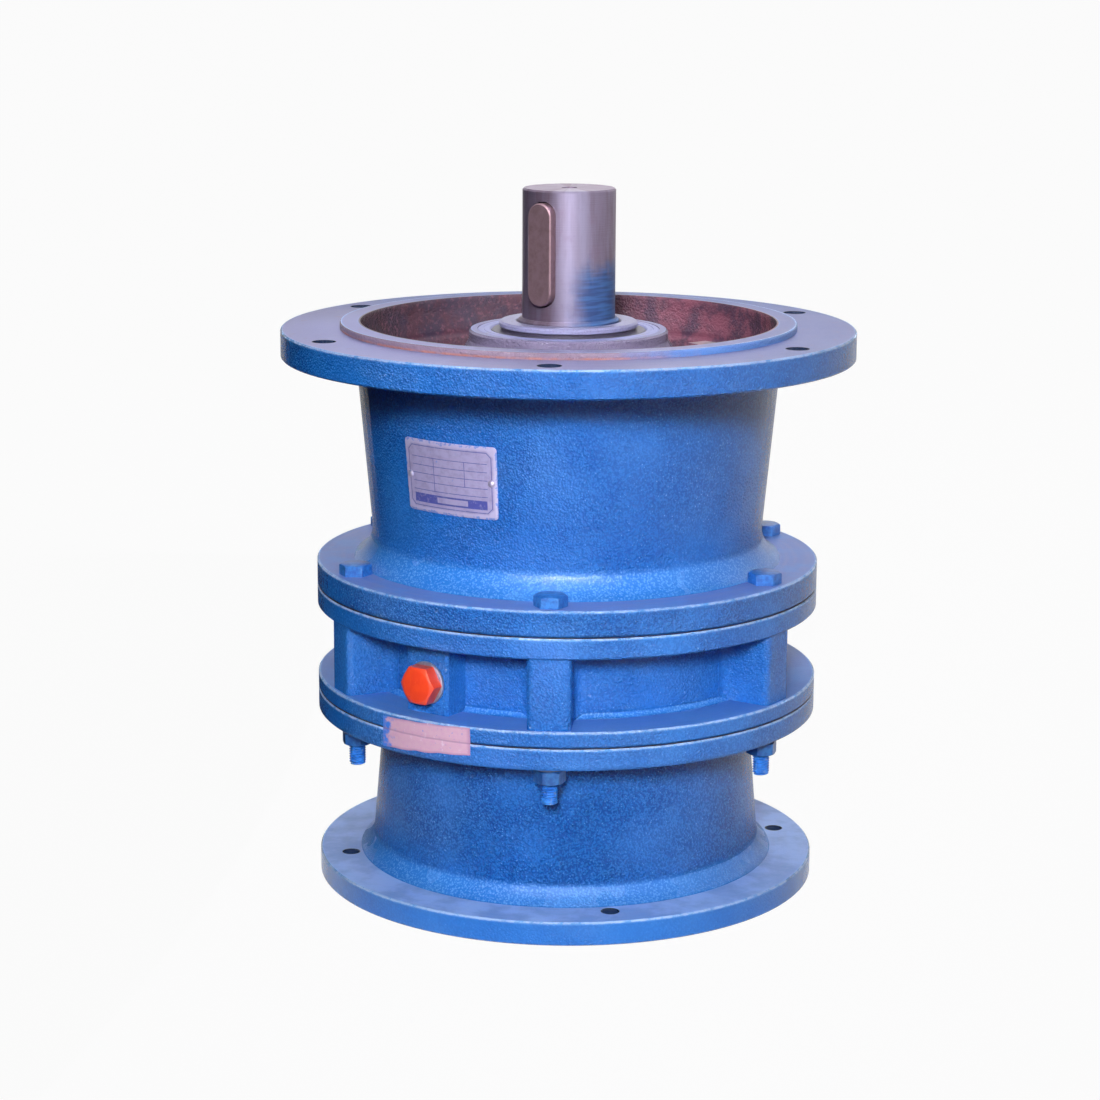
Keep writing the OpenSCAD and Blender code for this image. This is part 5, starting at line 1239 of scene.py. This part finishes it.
class REDUCER_OT_output_shaft(ReducerOperator):
    """Turned output shaft with its key, the oil seal and the seal carrier"""
    bl_idname = "reducer.output_shaft"
    bl_label = "Output shaft"

    def execute(self, context):
        own = self.settings(context, "shaft")
        paint_node(turned_shaft("oiled_shaft", own), "output_shaft")
        paint_node(dark_steel("key_steel", (160, 130, 140)), "output_key")
        paint_node(misted_steel("carrier_mist", srgb(162, 158, 188), srgb(148, 152, 202), 0.95),
                   "seal_carrier")
        paint_node(seal_rubber("misted_seal", 0.85, (SEAL_LIP_R, HUB_TOP)), "output_oil_seal")
        return {"FINISHED"}


class REDUCER_OT_inner_parts(ReducerOperator):
    """Bearings, pins, rollers, cycloid discs and input shaft"""
    bl_idname = "reducer.inner_parts"
    bl_label = "Inner parts"

    def execute(self, context):
        names = set(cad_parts)
        taken = {"output_casing", "pin_housing", "motor_adapter", "adapter_gasket",
                 "casing_gasket", "clamp_bolts", "clamp_nuts", "clamp_washers", "oil_plug",
                 "oil_plug_seal", "nameplate", "nameplate_rivets", "output_shaft", "output_key",
                 "seal_carrier", "output_oil_seal"}
        cages = {n for n in names if n.endswith("_cage")}
        turned = {"input_shaft", "eccentric_sleeve", "lower_cycloid_disc", "upper_cycloid_disc"}
        dark = {n for n in names if "circlip" in n or "spacer" in n}
        dark |= {"eccentric_key", "tightening_ring"}
        rubber = {"input_oil_seal"}
        bright = names - taken - cages - turned - dark - rubber
        paint_node(cage_brass("brass_cages"), *sorted(cages))
        paint_node(misted_steel("ground_steel", srgb(178, 178, 186), srgb(150, 138, 130), 0.2),
                   *sorted(turned))
        paint_node(dark_steel("spring_steel", (78, 76, 84)), *sorted(dark))
        paint_node(seal_rubber("input_seal_rubber", 0.1), *sorted(rubber))
        paint_node(bearing_steel("polished_rings"), *sorted(bright))
        return {"FINISHED"}


class REDUCER_OT_stage(ReducerOperator):
    """Floor, backdrop, lamps, room light and camera"""
    bl_idname = "reducer.stage"
    bl_label = "Stage"

    def execute(self, context):
        own = self.settings(context, "stage")
        context.scene.view_settings.view_transform = "Standard"
        self.lay_floor()
        self.hang_cloth()
        self.light_room(context.scene, own.fill)
        self.set_lamps(context.scene, own.key)
        self.set_camera(context.scene, own)
        return {"FINISHED"}

    def lay_floor(self):
        """Floor that curls up behind: level near the part, then a quarter circle that steepens
        as a cube."""
        s, t = np.linspace(-3.2, 3.2, 40)[None, :], np.linspace(0, 1, 60)[:, None]
        climb = (t - 0.6) / 0.4
        arc = climb * np.pi / 2
        run = np.where(t < 0.6, -2.6 + t / 0.6 * 4.4, 1.8 + 0.8 * np.sin(arc))
        rise = np.where(t < 0.6, 0.0,
                        0.8 * (1 - np.cos(arc)) + 2.4 * np.clip(climb, 0, 1) ** 3)
        points = np.stack(np.broadcast_arrays(s, run, rise - 0.6 * MM), axis=-1)
        set_stage("studio_floor", Skin().grid(points[:, ::-1]), self.floor_finish())

    def hang_cloth(self):
        """Black cloth on the left, which keeps white out of the reflections there: it lies along
        the floor, then turns up as a quarter circle and hangs upright."""
        s, t = np.linspace(-1.20, 0.85, 18)[None, :], np.linspace(0, 1, 24)[:, None]
        bend = np.clip((t - 0.25) / 0.25, 0, 1) * np.pi / 2
        away = 0.20 + 0.16 * np.clip(t / 0.25, 0, 1) + 0.10 * np.sin(bend)
        rise = 0.002 + 0.10 * (1 - np.cos(bend)) + 0.75 * np.clip((t - 0.5) / 0.5, 0, 1)
        across = -away - 0.14 * (s - 0.1) ** 2
        points = np.stack(np.broadcast_arrays(across, s, rise), axis=-1)
        set_stage("black_screen", Skin().grid(points), self.screen_finish())

    def light_room(self, scene, level):
        """Even light from all round, which the eye, mirrors and glass see as white."""
        scene.world = scene.world or bpy.data.worlds.new("room")
        scene.world.use_nodes = True
        nodes = Nodes(scene.world.node_tree, "ShaderNodeOutputWorld")
        room = nodes.add("ShaderNodeBackground", values={
            "Color": opaque(srgb(236, 238, 255)), "Strength": level})
        white = nodes.add("ShaderNodeBackground", values={
            "Color": (1, 1, 1, 1), "Strength": 1.0})
        nodes.show_mix(nodes.seen_by("Camera", "Glossy", "Transmission"), room, white)

    def set_lamps(self, scene, key):
        """A tall softbox in front, behind a grid that keeps its light off both flanks, a small
        one overhead and a large one behind."""
        for name, place, aim, size, power, colour, spread in (
                ("key_softbox", (0.02, -2.3, 1.25), (0.02, 0, 0.24), (0.30, 0.8), 0.78,
                 (1.0, 1.0, 1.0), 17),
                ("top_softbox", (-0.14, -1.02, 1.95), (0, 0, 0.2), (0.36, 0.26), 3.5,
                 (1.0, 1.0, 1.0), 180),
                ("back_softbox", (0.25, 1.7, 1.75), (0, 0, 0.2), (1.2, 1.0), 5.5,
                 (1.0, 0.96, 1.0), 180)):
            light = bpy.data.lights.new(name, "AREA")
            light.shape, light.energy, light.color = "RECTANGLE", key * power, colour
            light.size, light.size_y = size
            light.spread = math.radians(spread)
            lamp = bpy.data.objects.new(name, light)
            lamp.location = place
            facing = Vector(aim) - Vector(place)
            lamp.rotation_euler = facing.to_track_quat("-Z", "Y").to_euler()
            scene.collection.objects.link(lamp)

    def set_camera(self, scene, own):
        """Camera in front of the part, a little above it: its axes come from yaw, pitch and roll,
        and then it is turned round the part."""
        eye = bpy.data.cameras.new("view")
        eye.lens, eye.sensor_width = own.lens, 36.0
        eye.clip_start, eye.clip_end = 0.05, 30.0
        yaw, pitch, roll = (math.radians(a) for a in (-0.3546, 12.366, -0.278))
        up = Vector((0, 0, 1))
        level = Vector((math.sin(yaw), math.cos(yaw), 0))
        right = Vector((math.cos(yaw), -math.sin(yaw), 0))
        ahead = math.cos(pitch) * level - math.sin(pitch) * up
        above = math.sin(pitch) * level + math.cos(pitch) * up
        side = math.cos(roll) * right - math.sin(roll) * above
        top = math.sin(roll) * right + math.cos(roll) * above
        basis = Matrix((side, top, -ahead)).transposed().to_4x4()
        basis.translation = Vector((0, -1.66557, 0.56164))
        camera = bpy.data.objects.new("view", eye)
        camera.matrix_world = Matrix.Rotation(math.radians(own.turn), 4, "Z") @ basis
        scene.collection.objects.link(camera)
        scene.camera = camera

    def floor_finish(self):
        """White to the eye and in reflections, save for a share of its own shade, in which the
        part's shadow shows; a plain pale floor to all other light."""
        f = Finish("pale_floor")
        fleck = f.noise(40 * MM, 3.0)
        pale = f.mix(f.step(fleck, 0.3, 0.7), srgb(162, 162, 166), srgb(158, 158, 163))
        f.finish(base_color=pale, roughness=0.9)
        seen = f.high_of(f.seen_by("Camera") * 0.96, f.seen_by("Glossy", "Transmission"))
        glow = f.add("ShaderNodeEmission", values={"Color": (1, 1, 1, 1), "Strength": 1.0})
        f.show_mix(seen, f.shader, glow)
        return f.material

    def screen_finish(self):
        """Black cloth that the camera looks through."""
        f = Finish("black_cloth")
        weave = f.noise(4 * MM, 2.0)
        f.finish(base_color=f.mix(weave, srgb(12, 16, 34), srgb(20, 24, 44)), roughness=0.95)
        f.show_mix(f.seen_by("Camera"), f.shader, f.add("ShaderNodeBsdfTransparent"))
        return f.material


class REDUCER_PT_panel(bpy.types.Panel):
    """Every step that dresses the reducer"""
    bl_idname = "REDUCER_PT_panel"
    bl_label = "Reducer"
    bl_space_type = "VIEW_3D"
    bl_region_type = "UI"
    bl_category = "Reducer"

    def draw(self, context):
        for step in STEPS:
            self.layout.operator(step.bl_idname)
        for group, _ in GROUPS:
            box = self.layout.box()
            own = getattr(context.scene, "reducer_" + group)
            for key in own.__annotations__:
                box.prop(own, key)


GROUPS = (("casting", CastingSettings), ("clamp", ClampSettings), ("plug", PlugSettings),
          ("plate", PlateSettings), ("shaft", ShaftSettings), ("stage", StageSettings))
STEPS = (REDUCER_OT_castings, REDUCER_OT_clamp_bolts, REDUCER_OT_oil_plug, REDUCER_OT_nameplate,
         REDUCER_OT_output_shaft, REDUCER_OT_inner_parts, REDUCER_OT_stage)


def register():
    for _, group in GROUPS:
        bpy.utils.register_class(group)
    for step in STEPS:
        bpy.utils.register_class(step)
    bpy.utils.register_class(REDUCER_PT_panel)
    for name, group in GROUPS:
        setattr(bpy.types.Scene, "reducer_" + name, PointerProperty(type=group))


def unregister():
    for name, _ in GROUPS:
        delattr(bpy.types.Scene, "reducer_" + name)
    bpy.utils.unregister_class(REDUCER_PT_panel)
    for step in reversed(STEPS):
        bpy.utils.unregister_class(step)
    for _, group in reversed(GROUPS):
        bpy.utils.unregister_class(group)


def plain(box):
    """Numbers of a box as plain lists."""
    return [[float(part) for part in corner] for corner in box]


def main():
    register()
    for step in STEPS:
        area, name = step.bl_idname.split(".")
        done = getattr(getattr(bpy.ops, area), name)()
        if done != {"FINISHED"}:
            raise RuntimeError(step.bl_label + " did not finish")


if __name__ == "__main__":
    main()
